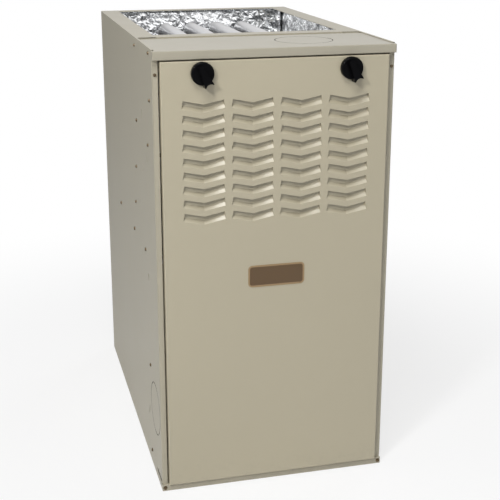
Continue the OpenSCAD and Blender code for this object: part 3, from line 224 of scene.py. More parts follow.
def newGroup(name, inputs, outputs):
    group = bpy.data.node_groups.new(name, "ShaderNodeTree")
    for socket, kind, value in inputs:
        made = group.interface.new_socket(name=socket, in_out="INPUT", socket_type=kind)
        made.default_value = value
    for socket, kind in outputs:
        group.interface.new_socket(name=socket, in_out="OUTPUT", socket_type=kind)
    return group, group.nodes.new("NodeGroupInput"), group.nodes.new("NodeGroupOutput")


def swing(tree, pattern, amount):  # a pattern about nought, times its amount
    return addMath(tree, "MULTIPLY", addMath(tree, "SUBTRACT", pattern, 0.5), amount)


def shaded(tree, base, shade):  # a colour times a shade of grey
    level = addNode(tree, "CombineColor")
    for socket in level.inputs[:3]:
        tree.links.new(shade, socket)
    return addMix(tree, 1.0, base, level.outputs[0], "MULTIPLY")


def makeTone(s):  # broad clouds and fine grain in a colour, and the gloss that goes with them
    group, given, made = newGroup(
        "toneAndGrain",
        [("Color", colour, (0.5, 0.5, 0.5, 1)), ("Cloud Scale", number, 4), ("Cloud Amount", number, 0.06),
         ("Grain Scale", number, 500), ("Grain Amount", number, 0.05),
         ("Roughness", number, 0.4), ("Roughness Spread", number, 0.1)],
        [("Color", colour), ("Roughness", number), ("Grain", number)])
    here = addNode(group, "TexCoord").outputs["Object"]
    cloud = addNoise(group, here, given.outputs["Cloud Scale"], *s["cloudNoise"])
    grain = addNoise(group, here, given.outputs["Grain Scale"], *s["grainNoise"])
    cloudShade = swing(group, cloud, given.outputs["Cloud Amount"])
    grainShade = swing(group, grain, given.outputs["Grain Amount"])
    shade = addMath(group, "ADD", addMath(group, "ADD", cloudShade, grainShade), 1.0)
    spread = swing(group, cloud, given.outputs["Roughness Spread"])
    group.links.new(shaded(group, given.outputs["Color"], shade), made.inputs["Color"])
    group.links.new(addMath(group, "ADD", given.outputs["Roughness"], spread), made.inputs["Roughness"])
    group.links.new(grain, made.inputs["Grain"])
    return group


def makeDust(s):  # dust on what faces up, and scuffs low down by the floor
    group, given, made = newGroup(
        "dustAndScuffs",
        [("Color", colour, (0.5, 0.5, 0.5, 1)), ("Dust Color", colour, (0.55, 0.53, 0.49, 1)),
         ("Dust Amount", number, 0.2), ("Scuff Color", colour, (0.25, 0.22, 0.18, 1)),
         ("Scuff Height", number, 0.06), ("Scuff Amount", number, 0.3)],
        [("Color", colour)])
    coordinates = addNode(group, "TexCoord")
    here, facing = coordinates.outputs["Object"], coordinates.outputs["Normal"]
    up, place = addNode(group, "SeparateXYZ"), addNode(group, "SeparateXYZ")
    group.links.new(facing, up.inputs[0])
    group.links.new(here, place.inputs[0])
    patches = addRange(group, addNoise(group, here, *s["dustNoise"]), *s["dustRange"])
    dust = addMath(group, "MULTIPLY", addRange(group, up.outputs["Z"], *s["facingUp"]), patches)
    dust = addMath(group, "MULTIPLY", dust, given.outputs["Dust Amount"])
    height = addMath(group, "DIVIDE", place.outputs["Z"], given.outputs["Scuff Height"])
    low = addMath(group, "MAXIMUM", addMath(group, "SUBTRACT", 1.0, height), 0.0)
    marks = addRange(group, addNoise(group, here, *s["scuffNoise"]), *s["scuffRange"])
    scuff = addMath(group, "MULTIPLY", addMath(group, "MULTIPLY", low, marks), given.outputs["Scuff Amount"])
    dusty = addMix(group, dust, given.outputs["Color"], given.outputs["Dust Color"])
    group.links.new(addMix(group, scuff, dusty, given.outputs["Scuff Color"]), made.inputs["Color"])
    return group


def makeSpangle(s):  # the crystal pattern of zinc, as a shade and a gloss
    group, given, made = newGroup(
        "zincSpangle",
        [("Color", colour, (0.6, 0.6, 0.62, 1)), ("Scale", number, 90), ("Contrast", number, 0.15),
         ("Roughness", number, 0.35), ("Roughness Spread", number, 0.2)],
        [("Color", colour), ("Roughness", number)])
    here = addNode(group, "TexCoord").outputs["Object"]
    wobble = addNode(group, "TexNoise", in_Scale=s["wobbleScale"], in_Detail=s["wobbleDetail"])
    soft = addNode(group, "VectorMath", operation="SCALE", in_Scale=s["wobbleReach"])
    bent = addNode(group, "VectorMath", operation="ADD")
    group.links.new(here, wobble.inputs["Vector"])
    group.links.new(wobble.outputs["Color"], soft.inputs[0])
    group.links.new(here, bent.inputs[0])
    group.links.new(soft.outputs[0], bent.inputs[1])
    cells = addNode(group, "TexVoronoi", feature="F1")
    group.links.new(bent.outputs[0], cells.inputs["Vector"])
    group.links.new(given.outputs["Scale"], cells.inputs["Scale"])
    one = addNode(group, "SeparateColor")
    group.links.new(cells.outputs["Color"], one.inputs[0])
    shade = addMath(group, "ADD", swing(group, one.outputs[0], given.outputs["Contrast"]), 1.0)
    gloss = swing(group, one.outputs[0], given.outputs["Roughness Spread"])
    group.links.new(shaded(group, given.outputs["Color"], shade), made.inputs["Color"])
    group.links.new(addMath(group, "ADD", given.outputs["Roughness"], gloss), made.inputs["Roughness"])
    return group


toneGroup, dustGroup, spangleGroup = (make(groupSettings) for make in (makeTone, makeDust, makeSpangle))

# Finishes: each kind's usual values, which a finish may replace by its own
usual = {"metallic": 0.0, "coat": 0.0, "coatRoughness": 0.03, "specular": 0.5, "sheen": 0.0}
paint = {  # baked enamel on sheet steel
    **usual, "cloudScale": 2.6, "clouds": 0.05, "grain": 900.0, "grainAmount": 0.05, "spread": 0.12,
    "dust": 0.16, "scuffs": 0.35, "peel": 0.08, "bumpDepth": 0.0006,
}
plastic = {  # plastic, ceramic or thick paint, with a fine moulded grain
    **usual, "cloudScale": 12.0, "clouds": 0.15, "grain": 1400.0, "grainAmount": 0.1, "spread": 0.1,
    "dust": 0.08, "scuffs": 0.0, "peel": 0.1, "bumpDepth": 0.0004,
}
cloth = {  # pleated fibre with a faint net over it
    **usual, "roughness": 0.95, "cloudScale": 30.0, "clouds": 0.2, "grain": 1800.0, "grainAmount": 0.35,
    "spread": 0.02, "dust": 0.3, "scuffs": 0.1, "peel": 0.6, "bumpDepth": 0.0012, "sheen": 0.3,
}
sheet = {  # zinc or aluminium coated steel, with its crystal pattern
    "crystals": 90.0, "contrast": 0.2, "spread": 0.12, "dust": 0.2, "scuffs": 0.1, "metallic": 0.9,
    "ripples": 9.0, "rippleDetail": 2, "rippleStrength": 0.08, "bumpDepth": 0.004,
}
foil = {  # bright foil: the creases are geometry, and fine wrinkles are bump
    "cloudScale": 26.0, "clouds": 0.12, "grain": 260.0, "grainAmount": 0.06, "spread": 0.14,
    "metallic": 1.0, "creases": 90.0, "creaseStrength": 0.5, "bumpDepth": 0.004,
}


def placeGroup(tree, group, **values):
    node = tree.nodes.new("ShaderNodeGroup")
    node.node_tree = group
    for name, value in values.items():
        feed(tree, node.inputs[name.replace("_", " ")], value)
    return node


def startMaterial(name):
    material = bpy.data.materials.new(name)
    material.use_nodes = True
    tree = material.node_tree
    return material, tree, tree.nodes["Principled BSDF"]


def addBump(tree, shader, height, strength, distance):
    bump = addNode(tree, "Bump", in_Strength=strength, in_Distance=distance)
    tree.links.new(height, bump.inputs["Height"])
    tree.links.new(bump.outputs[0], shader.inputs["Normal"])


def placeTone(tree, s):
    return placeGroup(tree, toneGroup, Color=s["colour"], Cloud_Scale=s["cloudScale"],
                      Cloud_Amount=s["clouds"], Grain_Scale=s["grain"], Grain_Amount=s["grainAmount"],
                      Roughness=s["roughness"], Roughness_Spread=s["spread"])


def dressShader(tree, shader, base, roughness, s):  # colour, under its dust where it has any, and gloss
    if "dust" in s:
        base = placeGroup(tree, dustGroup, Color=base, Dust_Amount=s["dust"],
                          Scuff_Amount=s["scuffs"]).outputs["Color"]
    tree.links.new(base, shader.inputs["Base Color"])
    tree.links.new(roughness, shader.inputs["Roughness"])
    shader.inputs["Metallic"].default_value = s["metallic"]


def coatedFinish(name, kind, own):
    s = {**kind, **own}
    material, tree, shader = startMaterial(name)
    tone = placeTone(tree, s)
    dressShader(tree, shader, tone.outputs["Color"], tone.outputs["Roughness"], s)
    shader.inputs["Coat Weight"].default_value = s["coat"]
    shader.inputs["Coat Roughness"].default_value = s["coatRoughness"]
    shader.inputs["Specular IOR Level"].default_value = s["specular"]
    shader.inputs["Sheen Weight"].default_value = s["sheen"]
    addBump(tree, shader, tone.outputs["Grain"], s["peel"], s["bumpDepth"])
    return material


def sheetFinish(name, own):
    s = {**sheet, **own}
    material, tree, shader = startMaterial(name)
    zinc = placeGroup(tree, spangleGroup, Color=s["colour"], Scale=s["crystals"], Contrast=s["contrast"],
                      Roughness=s["roughness"], Roughness_Spread=s["spread"])
    dressShader(tree, shader, zinc.outputs["Color"], zinc.outputs["Roughness"], s)
    ripples = addNoise(tree, addNode(tree, "TexCoord").outputs["Object"], s["ripples"], s["rippleDetail"])
    addBump(tree, shader, ripples, s["rippleStrength"], s["bumpDepth"])
    return material


def foilFinish(name, own):
    s = {**foil, **own}
    material, tree, shader = startMaterial(name)
    tone = placeTone(tree, s)
    dressShader(tree, shader, tone.outputs["Color"], tone.outputs["Roughness"], s)
    creases = addNode(tree, "TexVoronoi", feature="DISTANCE_TO_EDGE", in_Scale=s["creases"])
    tree.links.new(addNode(tree, "TexCoord").outputs["Object"], creases.inputs["Vector"])
    addBump(tree, shader, creases.outputs["Distance"], s["creaseStrength"], s["bumpDepth"])
    return material


finishes = {
    "painted_beige": coatedFinish("paintBeige", paint, {
        "colour": (0.415, 0.371, 0.266, 1), "roughness": 0.34, "specular": 0.8}),
    "painted_top": coatedFinish("paintCap", paint, {"colour": (0.358, 0.33, 0.258, 1), "roughness": 0.38}),
    "galvanized_steel": sheetFinish("galvanizedSteel", {"colour": (0.58, 0.59, 0.61, 1), "roughness": 0.38}),
    "aluminized_steel": sheetFinish("aluminizedSteel", {
        "colour": (0.58, 0.58, 0.59, 1), "roughness": 0.3, "crystals": 160.0, "contrast": 0.07,
        "dust": 0.12, "spread": 0.05}),
    "foil": foilFinish("foilFacing", {"colour": (0.92, 0.93, 0.94, 1), "roughness": 0.22}),
    "black_plastic": coatedFinish("blackPlastic", plastic, {
        "colour": (0.003, 0.003, 0.0035, 1), "roughness": 0.14, "peel": 0.03, "specular": 0.05,
        "dust": 0.0}),
    "matte_black": coatedFinish("matteBlack", plastic, {"colour": (0.03, 0.03, 0.033, 1), "roughness": 0.6}),
    "black_paint": coatedFinish("blackPaint", plastic, {
        "colour": (0.025, 0.026, 0.028, 1), "roughness": 0.35, "peel": 0.2, "grain": 500.0}),
    "zinc_steel": sheetFinish("zincSteel", {
        "colour": (0.62, 0.63, 0.66, 1), "roughness": 0.3, "crystals": 400.0, "contrast": 0.08}),
    "bronze_screw": sheetFinish("bronzeScrew", {
        "colour": (0.15, 0.112, 0.07, 1), "roughness": 0.34, "crystals": 700.0, "contrast": 0.3,
        "dust": 0.05}),
    "brass": sheetFinish("brassTurned", {
        "colour": (0.72, 0.54, 0.22, 1), "roughness": 0.25, "crystals": 500.0, "contrast": 0.06}),
    "valve_aluminium": sheetFinish("castAluminium", {
        "colour": (0.56, 0.57, 0.58, 1), "roughness": 0.5, "crystals": 900.0, "contrast": 0.12,
        "ripples": 240.0}),
    "red_plastic": coatedFinish("redPlastic", plastic, {
        "colour": (0.52, 0.015, 0.012, 1), "roughness": 0.35}),
    "board_green": coatedFinish("boardGreen", plastic, {
        "colour": (0.012, 0.11, 0.035, 1), "roughness": 0.4, "grain": 300.0, "coat": 0.4}),
    "ceramic_white": coatedFinish("ceramicWhite", plastic, {
        "colour": (0.80, 0.78, 0.72, 1), "roughness": 0.5}),
    "badge_brown": coatedFinish("badgeBrown", plastic, {
        "colour": (0.115, 0.068, 0.030, 1), "roughness": 0.34, "metallic": 0.35, "coat": 0.2, "dust": 0.02}),
    "filter_media": coatedFinish("filterMedia", cloth, {"colour": (0.62, 0.66, 0.70, 1)}),
    "cable_black": coatedFinish("cableBlack", plastic, {
        "colour": (0.022, 0.022, 0.024, 1), "roughness": 0.5, "grain": 700.0}),
}
# painted shade: the casing and its rails take the door's paint made darker, though they share the door's
# paint
casingPaintShaded = coatedFinish("paintCasingShaded", paint, {"colour": (0.385, 0.353, 0.272, 1), "roughness": 0.42})
# painted shade and grime: a near-black finish for the groove faces, darker than their depth alone makes them
grooveShadeAndGrime = coatedFinish("grooveShadeAndGrime", plastic, {"colour": (0.075, 0.066, 0.052, 1), "roughness": 0.9})
badgeRim = sheetFinish("badgeRim", {
    "colour": (0.36, 0.25, 0.14, 1), "roughness": 0.4, "crystals": 500.0, "contrast": 0.05})
print("finishes made:", len(finishes))


def dressNodes(record):  # every CAD node takes the finish that the record names
    for row in record["subparts"]:
        node = frame["nodes"][row["node"]]
        node.data.materials.clear()
        node.data.materials.append(finishes[row["material_slot"]])


dressNodes(frame["record"])

# Modelling helpers: the moves of edit mode, with the selection made by place
hair = 1e-4  # how far past a place a test still reaches
weld = 1e-5  # two places nearer than this are one


def only(piece):
    bpy.ops.object.select_all(action="DESELECT")
    piece.select_set(True)
    bpy.context.view_layer.objects.active = piece
    return piece


def settled(piece):  # its place, turn and scale go into its mesh
    only(piece)
    bpy.ops.object.transform_apply(location=True, rotation=True, scale=True)
    return piece


def editMode(piece):
    only(piece)
    bpy.ops.object.mode_set(mode="EDIT")


def objectMode():
    bpy.ops.object.mode_set(mode="OBJECT")


def pickAll():
    bpy.ops.mesh.select_all(action="SELECT")


def pick(kind, test):  # selects the vertices, edges or faces that pass the test
    bpy.ops.mesh.select_mode(type=kind)
    bpy.ops.mesh.select_all(action="DESELECT")
    mesh = bmesh.from_edit_mesh(bpy.context.object.data)
    if kind == "VERT":
        for vertex in mesh.verts:
            vertex.select_set(bool(test(vertex.co)))
    elif kind == "EDGE":
        for edge in mesh.edges:
            edge.select_set(bool(test(edge.verts[0].co, edge.verts[1].co, edge)))
    else:
        for face in mesh.faces:
            face.select_set(bool(test(face.calc_center_median(), face.normal)))
    mesh.select_flush_mode()
    bmesh.update_edit_mesh(bpy.context.object.data)


def slide(x=0.0, y=0.0, z=0.0):
    bpy.ops.transform.translate(value=(x, y, z))


def pull(x=0.0, y=0.0, z=0.0):  # extrudes what is selected
    bpy.ops.mesh.extrude_region_move(TRANSFORM_OT_translate={"value": (x, y, z)})


def near(a, b):
    return abs(a - b) < weld


def both(a, b, axis, value):  # true for an edge that lies at one place along an axis
    return near(a[axis], value) and near(b[axis], value)


def either(a, b, axis, value):  # true for an edge that lies at a place or its mirror place
    return both(a, b, axis, value) or both(a, b, axis, -value)


def faceOut():
    pickAll()
    bpy.ops.mesh.normals_make_consistent(inside=False)


def cleanUp():
    pickAll()
    bpy.ops.mesh.remove_doubles(threshold=weld)
    bpy.ops.mesh.normals_make_consistent(inside=False)


def applied(piece, kind, **values):
    modifier = piece.modifiers.new(kind.lower(), kind)
    for name, value in values.items():
        setattr(modifier, name, value)
    only(piece)
    bpy.ops.object.modifier_apply(modifier=modifier.name)


def worn(piece, width, angle, segments=2):  # rounds every edge sharper than the angle
    applied(piece, "BEVEL", width=width, segments=segments, limit_method="ANGLE",
            angle_limit=math.radians(angle))


def cutWith(piece, cutter):
    applied(piece, "BOOLEAN", object=cutter, operation="DIFFERENCE", solver="EXACT")
    bpy.data.objects.remove(cutter)


def joined(pieces):
    bpy.ops.object.select_all(action="DESELECT")
    for piece in pieces:
        piece.select_set(True)
    bpy.context.view_layer.objects.active = pieces[0]
    bpy.ops.object.join()
    return pieces[0]


def copied(piece, move=(0, 0, 0)):
    twin = piece.copy()
    twin.data = piece.data.copy()
    bpy.context.scene.collection.objects.link(twin)
    twin.location = Vector(piece.location) + Vector(move)
    return twin


def solidCopy(node):  # a merged copy of a node's mesh, its flat faces made whole
    piece = copied(frame["nodes"][node])
    piece.modifiers.clear()
    editMode(piece)
    pickAll()
    bpy.ops.mesh.remove_doubles(threshold=2e-6)
    bpy.ops.mesh.dissolve_limited(angle_limit=math.radians(0.6), delimit={"NORMAL"})
    objectMode()
    return piece


def boxAt(low, high):  # a block between two corners
    bpy.ops.mesh.primitive_cube_add(size=1, location=[(a + b) / 2 for a, b in zip(low, high)])
    block = bpy.context.object
    block.scale = [b - a for a, b in zip(low, high)]
    return settled(block)


def completed(piece, name, body, finish, smooth=35.0, material=None):  # shading, name, body, slot and finish
    settled(piece)
    if smooth:
        bpy.ops.object.shade_smooth_by_angle(angle=math.radians(smooth))
        applied(piece, "WEIGHTED_NORMAL", keep_sharp=True, weight=100)
    piece.name = name
    piece.data.name = name
    piece.data.materials.clear()
    piece.data.materials.append(material or finishes[finish])
    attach(piece, body)
    bpy.ops.object.select_all(action="DESELECT")


def secondFinish(piece, material, test):  # another material on the faces that pass the test
    piece.data.materials.append(material)
    for polygon in piece.data.polygons:
        if test(polygon.center, polygon.normal):
            polygon.material_index = 1


# Door: one pressed pan with its louvres, 36 copies of one pressed cell
doorSettings = {
    "halfWidth": 0.20925, "bottom": 0.0136, "top": 0.826, "face": -0.357, "depth": 0.016,
    "sheet": 0.0012, "bend": 0.0022, "edge": 0.00035,
    "columns": (-0.13425, -0.04475, 0.04475, 0.13425), "spacing": 0.0895,
    "rows": 9, "pitch": 0.0254, "firstRow": 0.7572,
    "louvreHalf": 0.0365, "louvreEnd": 0.0025, "louvreHeight": 0.0146, "above": 0.0024,
    "bendHeight": 0.0086, "bendBack": 0.0008, "drop": 0.0073, "press": 0.0055, "middlePress": 0.004,
}


def pressedCell(s):  # a cell of the pan, with one louvre pressed in under its cut top edge
    parts = 4  # the cell starts as a grid of four parts each way
    top, bottom = s["above"], s["above"] - s["pitch"]
    reach, quarter = s["louvreHalf"], s["spacing"] / parts
    bpy.ops.mesh.primitive_grid_add(x_subdivisions=parts, y_subdivisions=parts, size=1, location=(0, 0, 0),
                                    rotation=(math.radians(90), 0, 0))
    cell = bpy.context.object
    cell.scale = (s["spacing"], s["pitch"], 1)
    cell.location = (0, 0, (top + bottom) / 2)
    settled(cell)
    editMode(cell)
    for number, height in enumerate((0, s["bendHeight"], s["louvreHeight"])):  # cut edge, bend line, foot
        old = top - s["pitch"] / parts * (number + 1)
        pick("VERT", lambda v: near(v.z, old))
        slide(z=-height - old)
        for side in (-1, 1):
            pick("VERT", lambda v: near(v.x, side * quarter) and near(v.z, -height))
            slide(x=side * (reach + s["louvreEnd"] * height / s["louvreHeight"] - quarter))
    pick("VERT", lambda v: near(v.x, 0) and bottom + hair < v.z < top - hair)
    slide(z=-s["drop"])
    middle = (s["louvreHeight"] + s["drop"]) / 2
    pick("FACE", lambda c, n: abs(c.x) < s["spacing"] / parts and abs(c.z + middle) < s["louvreHeight"] / 2)
    bpy.ops.mesh.split()
    mesh = bmesh.from_edit_mesh(cell.data)
    chosen = [v for v in mesh.verts if v.select]
    bpy.ops.mesh.select_all(action="DESELECT")
    for vertex in chosen:  # the blade's top edge and bend line go in, and its foot stays
        drop = s["drop"] if near(vertex.co.x, 0) else 0
        vertex.select_set(vertex.co.z > -s["bendHeight"] - drop - hair)
    bmesh.update_edit_mesh(cell.data)
    slide(y=s["press"])
    pick("VERT", lambda v: near(v.x, 0) and v.y > hair)  # the middle is pressed deeper
    slide(y=s["middlePress"])
    pick("VERT", lambda v: v.y > hair and v.z < -s["bendHeight"] + hair)
    slide(y=-s["bendBack"])
    pickAll()
    bpy.ops.mesh.remove_doubles(threshold=weld)
    for side in (-1, 1):  # the wall that closes each end
        pick("VERT", lambda v: reach - hair < side * v.x < reach + s["louvreEnd"] + hair)
        bpy.ops.mesh.edge_face_add()
    pick("FACE", lambda c, n: n.z > 0.3)  # the slopes are a little twisted, so they get a finer grid
    bpy.ops.mesh.subdivide(number_cuts=3, smoothness=0.0)
    objectMode()
    return cell


def makeDoor(s):
    cell = pressedCell(s)
    cells = [copied(cell, (column, 0, s["firstRow"] - row * s["pitch"]))
             for row in range(s["rows"]) for column in s["columns"]]
    bpy.data.objects.remove(cell)
    pan = settled(joined(cells))
    fieldHalf = s["spacing"] * len(s["columns"]) / 2
    fieldTop = s["firstRow"] + s["above"]
    fieldBottom = fieldTop - s["rows"] * s["pitch"]

    def atRim(a, b):
        return either(a, b, 0, s["halfWidth"]) or both(a, b, 2, s["top"]) or both(a, b, 2, s["bottom"])

    editMode(pan)
    cleanUp()
    for fieldEnd, panEnd in ((fieldTop, s["top"]), (fieldBottom, s["bottom"])):
        pick("EDGE", lambda a, b, e: both(a, b, 2, fieldEnd))
        pull(z=panEnd - fieldEnd)
    for side in (-1, 1):
        pick("EDGE", lambda a, b, e: both(a, b, 0, side * fieldHalf))
        pull(x=side * (s["halfWidth"] - fieldHalf))
    cleanUp()
    pick("EDGE", lambda a, b, e: atRim(a, b))
    pull(y=s["depth"])
    cleanUp()
    pick("EDGE", lambda a, b, e: both(a, b, 1, 0) and atRim(a, b))
    bpy.ops.mesh.bevel(offset=s["bend"], segments=6, affect="EDGES", clamp_overlap=False)
    cleanUp()
    pickAll()
    slide(y=s["face"])
    objectMode()
    applied(pan, "SOLIDIFY", thickness=s["sheet"], offset=-1)
    worn(pan, s["edge"], 35)
    return pan


door = makeDoor(doorSettings)
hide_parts("door_panel")
completed(door, "doorPan", "door", "painted_beige", smooth=8.0)
print("door made")

# Cap: one folded sheet, its top stepped down at the back, with the vent knock-out pressed in
capSettings = {
    "halfWidth": 0.22225, "innerHalf": 0.22075, "face": -0.357, "postPlane": -0.3473, "top": 0.8445,
    "flangeBottom": 0.8285, "lip": 0.009, "sheet": 0.0012, "bend": 0.0019, "edge": 0.0003,
    "slopeStart": -0.179, "slopeEnd": -0.174, "back": -0.1673, "step": 0.005,
    "slopeBend": 0.0015, "slopeBendsFrom": -0.2,
    "ventPlace": (0.076, -0.262), "ventRadius": 0.0534, "barSides": 8, "barTilt": 0.2, "barStep": 3,
    "cuts": ((0.0009, 0.0, 22, 136), (0.0009, 0.0, 202, 136),  # radius, depth, start and span of each cut
             (0.001, 0.0006, -22, 44), (0.001, 0.0006, 158, 44)),
    "grooveShadeReach": 0.0012, "grooveShadeFlat": 0.98, "grooveShadeAbove": 0.84,
}


def ringCutter(s, radius, centreZ, start, span):  # a round bar bent along part of the knock-out's ring
    x, y = s["ventPlace"]
    bpy.ops.mesh.primitive_circle_add(vertices=s["barSides"], radius=radius, fill_type="NGON",
                                      rotation=(math.radians(90), s["barTilt"], 0),
                                      location=(x + s["ventRadius"], y, centreZ))
    bar = settled(bpy.context.object)
    editMode(bar)
    pickAll()
    bpy.ops.transform.rotate(value=math.radians(start), orient_axis="Z", center_override=(x, y, centreZ))
    bpy.ops.mesh.spin(steps=int(span / s["barStep"]), angle=math.radians(span), center=(x, y, centreZ),
                      axis=(0, 0, 1))
    faceOut()
    if bmesh.from_edit_mesh(bar.data).calc_volume(signed=True) < 0:
        bpy.ops.mesh.flip_normals()
    objectMode()
    return bar


def makeCap(s):
    bpy.ops.mesh.primitive_plane_add(size=1, location=(0, (s["face"] + s["postPlane"]) / 2, s["top"]))
    cap = bpy.context.object
    cap.scale = (2 * s["halfWidth"], s["postPlane"] - s["face"], 1)
    settled(cap)
    low = s["top"] - s["step"]

    def turned(edge, least, most=180):  # true for an edge where two faces meet at such an angle
        return (len(edge.link_faces) == 2
                and math.radians(least) < edge.calc_face_angle(0) <= math.radians(most))

    editMode(cap)
    for y, z in ((s["slopeStart"], s["top"]), (s["slopeEnd"], low), (s["back"], low)):
        rear = max(v.co.y for v in bmesh.from_edit_mesh(cap.data).verts)
        height = min(v.co.z for v in bmesh.from_edit_mesh(cap.data).verts)
        pick("EDGE", lambda a, b, e: both(a, b, 1, rear))
        pull(y=y - rear, z=z - height)
    for side in (-1, 1):  # behind the posts the cap lies between the casing's walls
        pick("VERT", lambda v: near(v.x, side * s["halfWidth"]) and v.y > s["postPlane"] + hair)
        slide(x=side * (s["innerHalf"] - s["halfWidth"]))
    cleanUp()
    pick("EDGE", lambda a, b, e: both(a, b, 1, s["face"])
         or either(a, b, 0, s["halfWidth"]) and max(a.y, b.y) < s["postPlane"] + hair)
    pull(z=s["flangeBottom"] - s["top"])
    cleanUp()
    pick("EDGE", lambda a, b, e: both(a, b, 1, s["face"]) and both(a, b, 2, s["flangeBottom"]))
    pull(y=s["lip"])
    cleanUp()
    pick("EDGE", lambda a, b, e: turned(e, 60))
    bpy.ops.mesh.bevel(offset=s["bend"], segments=3, affect="EDGES", clamp_overlap=False)
    pick("EDGE", lambda a, b, e: turned(e, 25, 60) and a.y > s["slopeBendsFrom"])
    bpy.ops.mesh.bevel(offset=s["slopeBend"], segments=2, affect="EDGES", clamp_overlap=False)
    cleanUp()
    if max(f.normal.z for f in bmesh.from_edit_mesh(cap.data).faces) < 0.9:
        bpy.ops.mesh.flip_normals()
    objectMode()
    applied(cap, "SOLIDIFY", thickness=s["sheet"], offset=-1, use_even_offset=True)
    for radius, depth, start, span in s["cuts"]:
        cutWith(cap, ringCutter(s, radius, s["top"] - depth, start, span))
    return cap


# The keeper under the cap, which the latch tongues turn behind, with its flange bent down
keeperSettings = {"halfWidth": 0.21075, "front": -0.348, "rear": -0.3378, "top": 0.8297, "bottom": 0.813,
                  "sheet": 0.0012}


def makeKeeper(s):
    under, fold = s["top"] - s["sheet"], s["rear"] - s["sheet"]
    keeper = boxAt((-s["halfWidth"], s["front"], under), (s["halfWidth"], s["rear"], s["top"]))
    editMode(keeper)
    pickAll()
    bpy.ops.mesh.bisect(plane_co=(0, fold, 0), plane_no=(0, 1, 0))
    pick("FACE", lambda c, n: n.z < -0.9 and c.y > fold)
    pull(z=s["bottom"] - s["top"] + s["sheet"])
    cleanUp()
    objectMode()
    return keeper


cap = joined([makeCap(capSettings), makeKeeper(keeperSettings)])
worn(cap, capSettings["edge"], 40, segments=1)
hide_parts("top_cap")
completed(cap, "ventCap", "cabinet", "painted_top")
ventX, ventY = capSettings["ventPlace"]


# painted shade and grime: the faces of the vent knock-out's groove take the dark groove finish
def inVentRing(c, n):
    away = abs(math.hypot(c.x - ventX, c.y - ventY) - capSettings["ventRadius"])
    return (away < capSettings["grooveShadeReach"] and abs(n.z) < capSettings["grooveShadeFlat"]
            and c.z > capSettings["grooveShadeAbove"])


secondFinish(cap, grooveShadeAndGrime, inVentRing)
print("cap made")

# Folded sheet: the casing and the rails start from their solids, and get round bends and worn edges
sheetSettings = {
    "bend": 0.002, "bendLength": 0.3, "railEdge": 0.0007, "cornerX": 0.22225, "front": -0.347, "back": 0.377,
    "circlePlace": (-0.289, 0.146), "circleRadius": 0.0513, "circleGroove": 0.00115,
    "grooveShadeReach": 0.0014, "grooveShadeFlat": 0.97, "grooveShadeOutside": 0.2208,
    "slots": ((0.132, 0.712, 0.016, 0), (0.1327, 0.6076, 0.012, 0),  # depth, height, length and lean
              (0.082, 0.637, 0.014, 0), (0.1326, 0.109, 0.024, 25)),
    "slotWidth": 0.0036, "cutReach": 0.002,
    "notchStart": 0.003, "notchDepth": 0.057, "notchLow": 0.0145, "notchHigh": 0.0212,
    "shadeStrip": ((-0.00395, 0.0035, 0.0105), (-0.00125, 0.056, 0.0235)),  # two corners, from the front corner
    "shadeStripEdge": 0.0007,
}


def makeCasing(s):
    casing = solidCopy("casing_wrap")
    editMode(casing)
    for y in (s["front"], s["back"]):
        pick("EDGE", lambda a, b, e: abs(a.z - b.z) > s["bendLength"] and both(a, b, 1, y)
             and near(abs(a.x), s["cornerX"]) and near(abs(b.x), s["cornerX"]))
        bpy.ops.mesh.bevel(offset=s["bend"], segments=4, affect="EDGES", clamp_overlap=True)
    objectMode()
    reach, half = s["cutReach"], s["slotWidth"] / 2
    for side in (-1, 1):
        bpy.ops.mesh.primitive_torus_add(location=(side * s["cornerX"], *s["circlePlace"]),
                                         rotation=(0, math.radians(90), 0), major_segments=96,
                                         minor_segments=6, major_radius=s["circleRadius"],
                                         minor_radius=s["circleGroove"])
        cutWith(casing, bpy.context.object)
        notch = boxAt((-reach, s["notchStart"], s["notchLow"]), (reach, s["notchDepth"], s["notchHigh"]))
        notch.location = (side * s["cornerX"], s["front"], 0)
        cutWith(casing, notch)
        for depth, height, length, lean in s["slots"]:
            slot = boxAt((-reach, -half, -length / 2), (reach, half, length / 2))
            slot.rotation_euler[0] = math.radians(lean)
            slot.location = (side * s["cornerX"], s["front"] + depth, height)
            cutWith(casing, slot)
    return casing


def makeShadeStrip(s, side):  # a black strip closes the notch over the rail's return from inside, a dark piece standing in for the shade in the gap
    low, high = s["shadeStrip"]
    across = sorted(side * (s["cornerX"] + x) for x in (low[0], high[0]))
    shadeStrip = boxAt((across[0], s["front"] + low[1], low[2]), (across[1], s["front"] + high[1], high[2]))
    applied(shadeStrip, "BEVEL", width=s["shadeStripEdge"], segments=2)
    return shadeStrip


casing = makeCasing(sheetSettings)
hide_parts("casing_wrap")
completed(casing, "foldedCasing", "cabinet", "painted_beige", smooth=40.0, material=casingPaintShaded)
circleY, circleZ = sheetSettings["circlePlace"]


# painted shade and grime: the faces of the side circle's groove take the dark groove finish
def inCircleGroove(c, n):
    away = abs(math.hypot(c.y - circleY, c.z - circleZ) - sheetSettings["circleRadius"])
    return (away < sheetSettings["grooveShadeReach"] and abs(n.x) < sheetSettings["grooveShadeFlat"]
            and abs(c.x) > sheetSettings["grooveShadeOutside"])


secondFinish(casing, grooveShadeAndGrime, inCircleGroove)  # it reads darker than its depth alone gives
for node, name in (("base_rail", "foldedBaseRail"), ("outlet_front_rail", "foldedOutletRail")):
    rail = solidCopy(node)
    worn(rail, sheetSettings["railEdge"], 40)
    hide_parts(node)
    completed(rail, name, "cabinet", "painted_beige", material=casingPaintShaded)
# painted shade: black strips behind the notches, so the gaps read dark
completed(joined([makeShadeStrip(sheetSettings, side) for side in (-1, 1)]), "notchShadeStrips", "cabinet", "matte_black")
print("casing made")

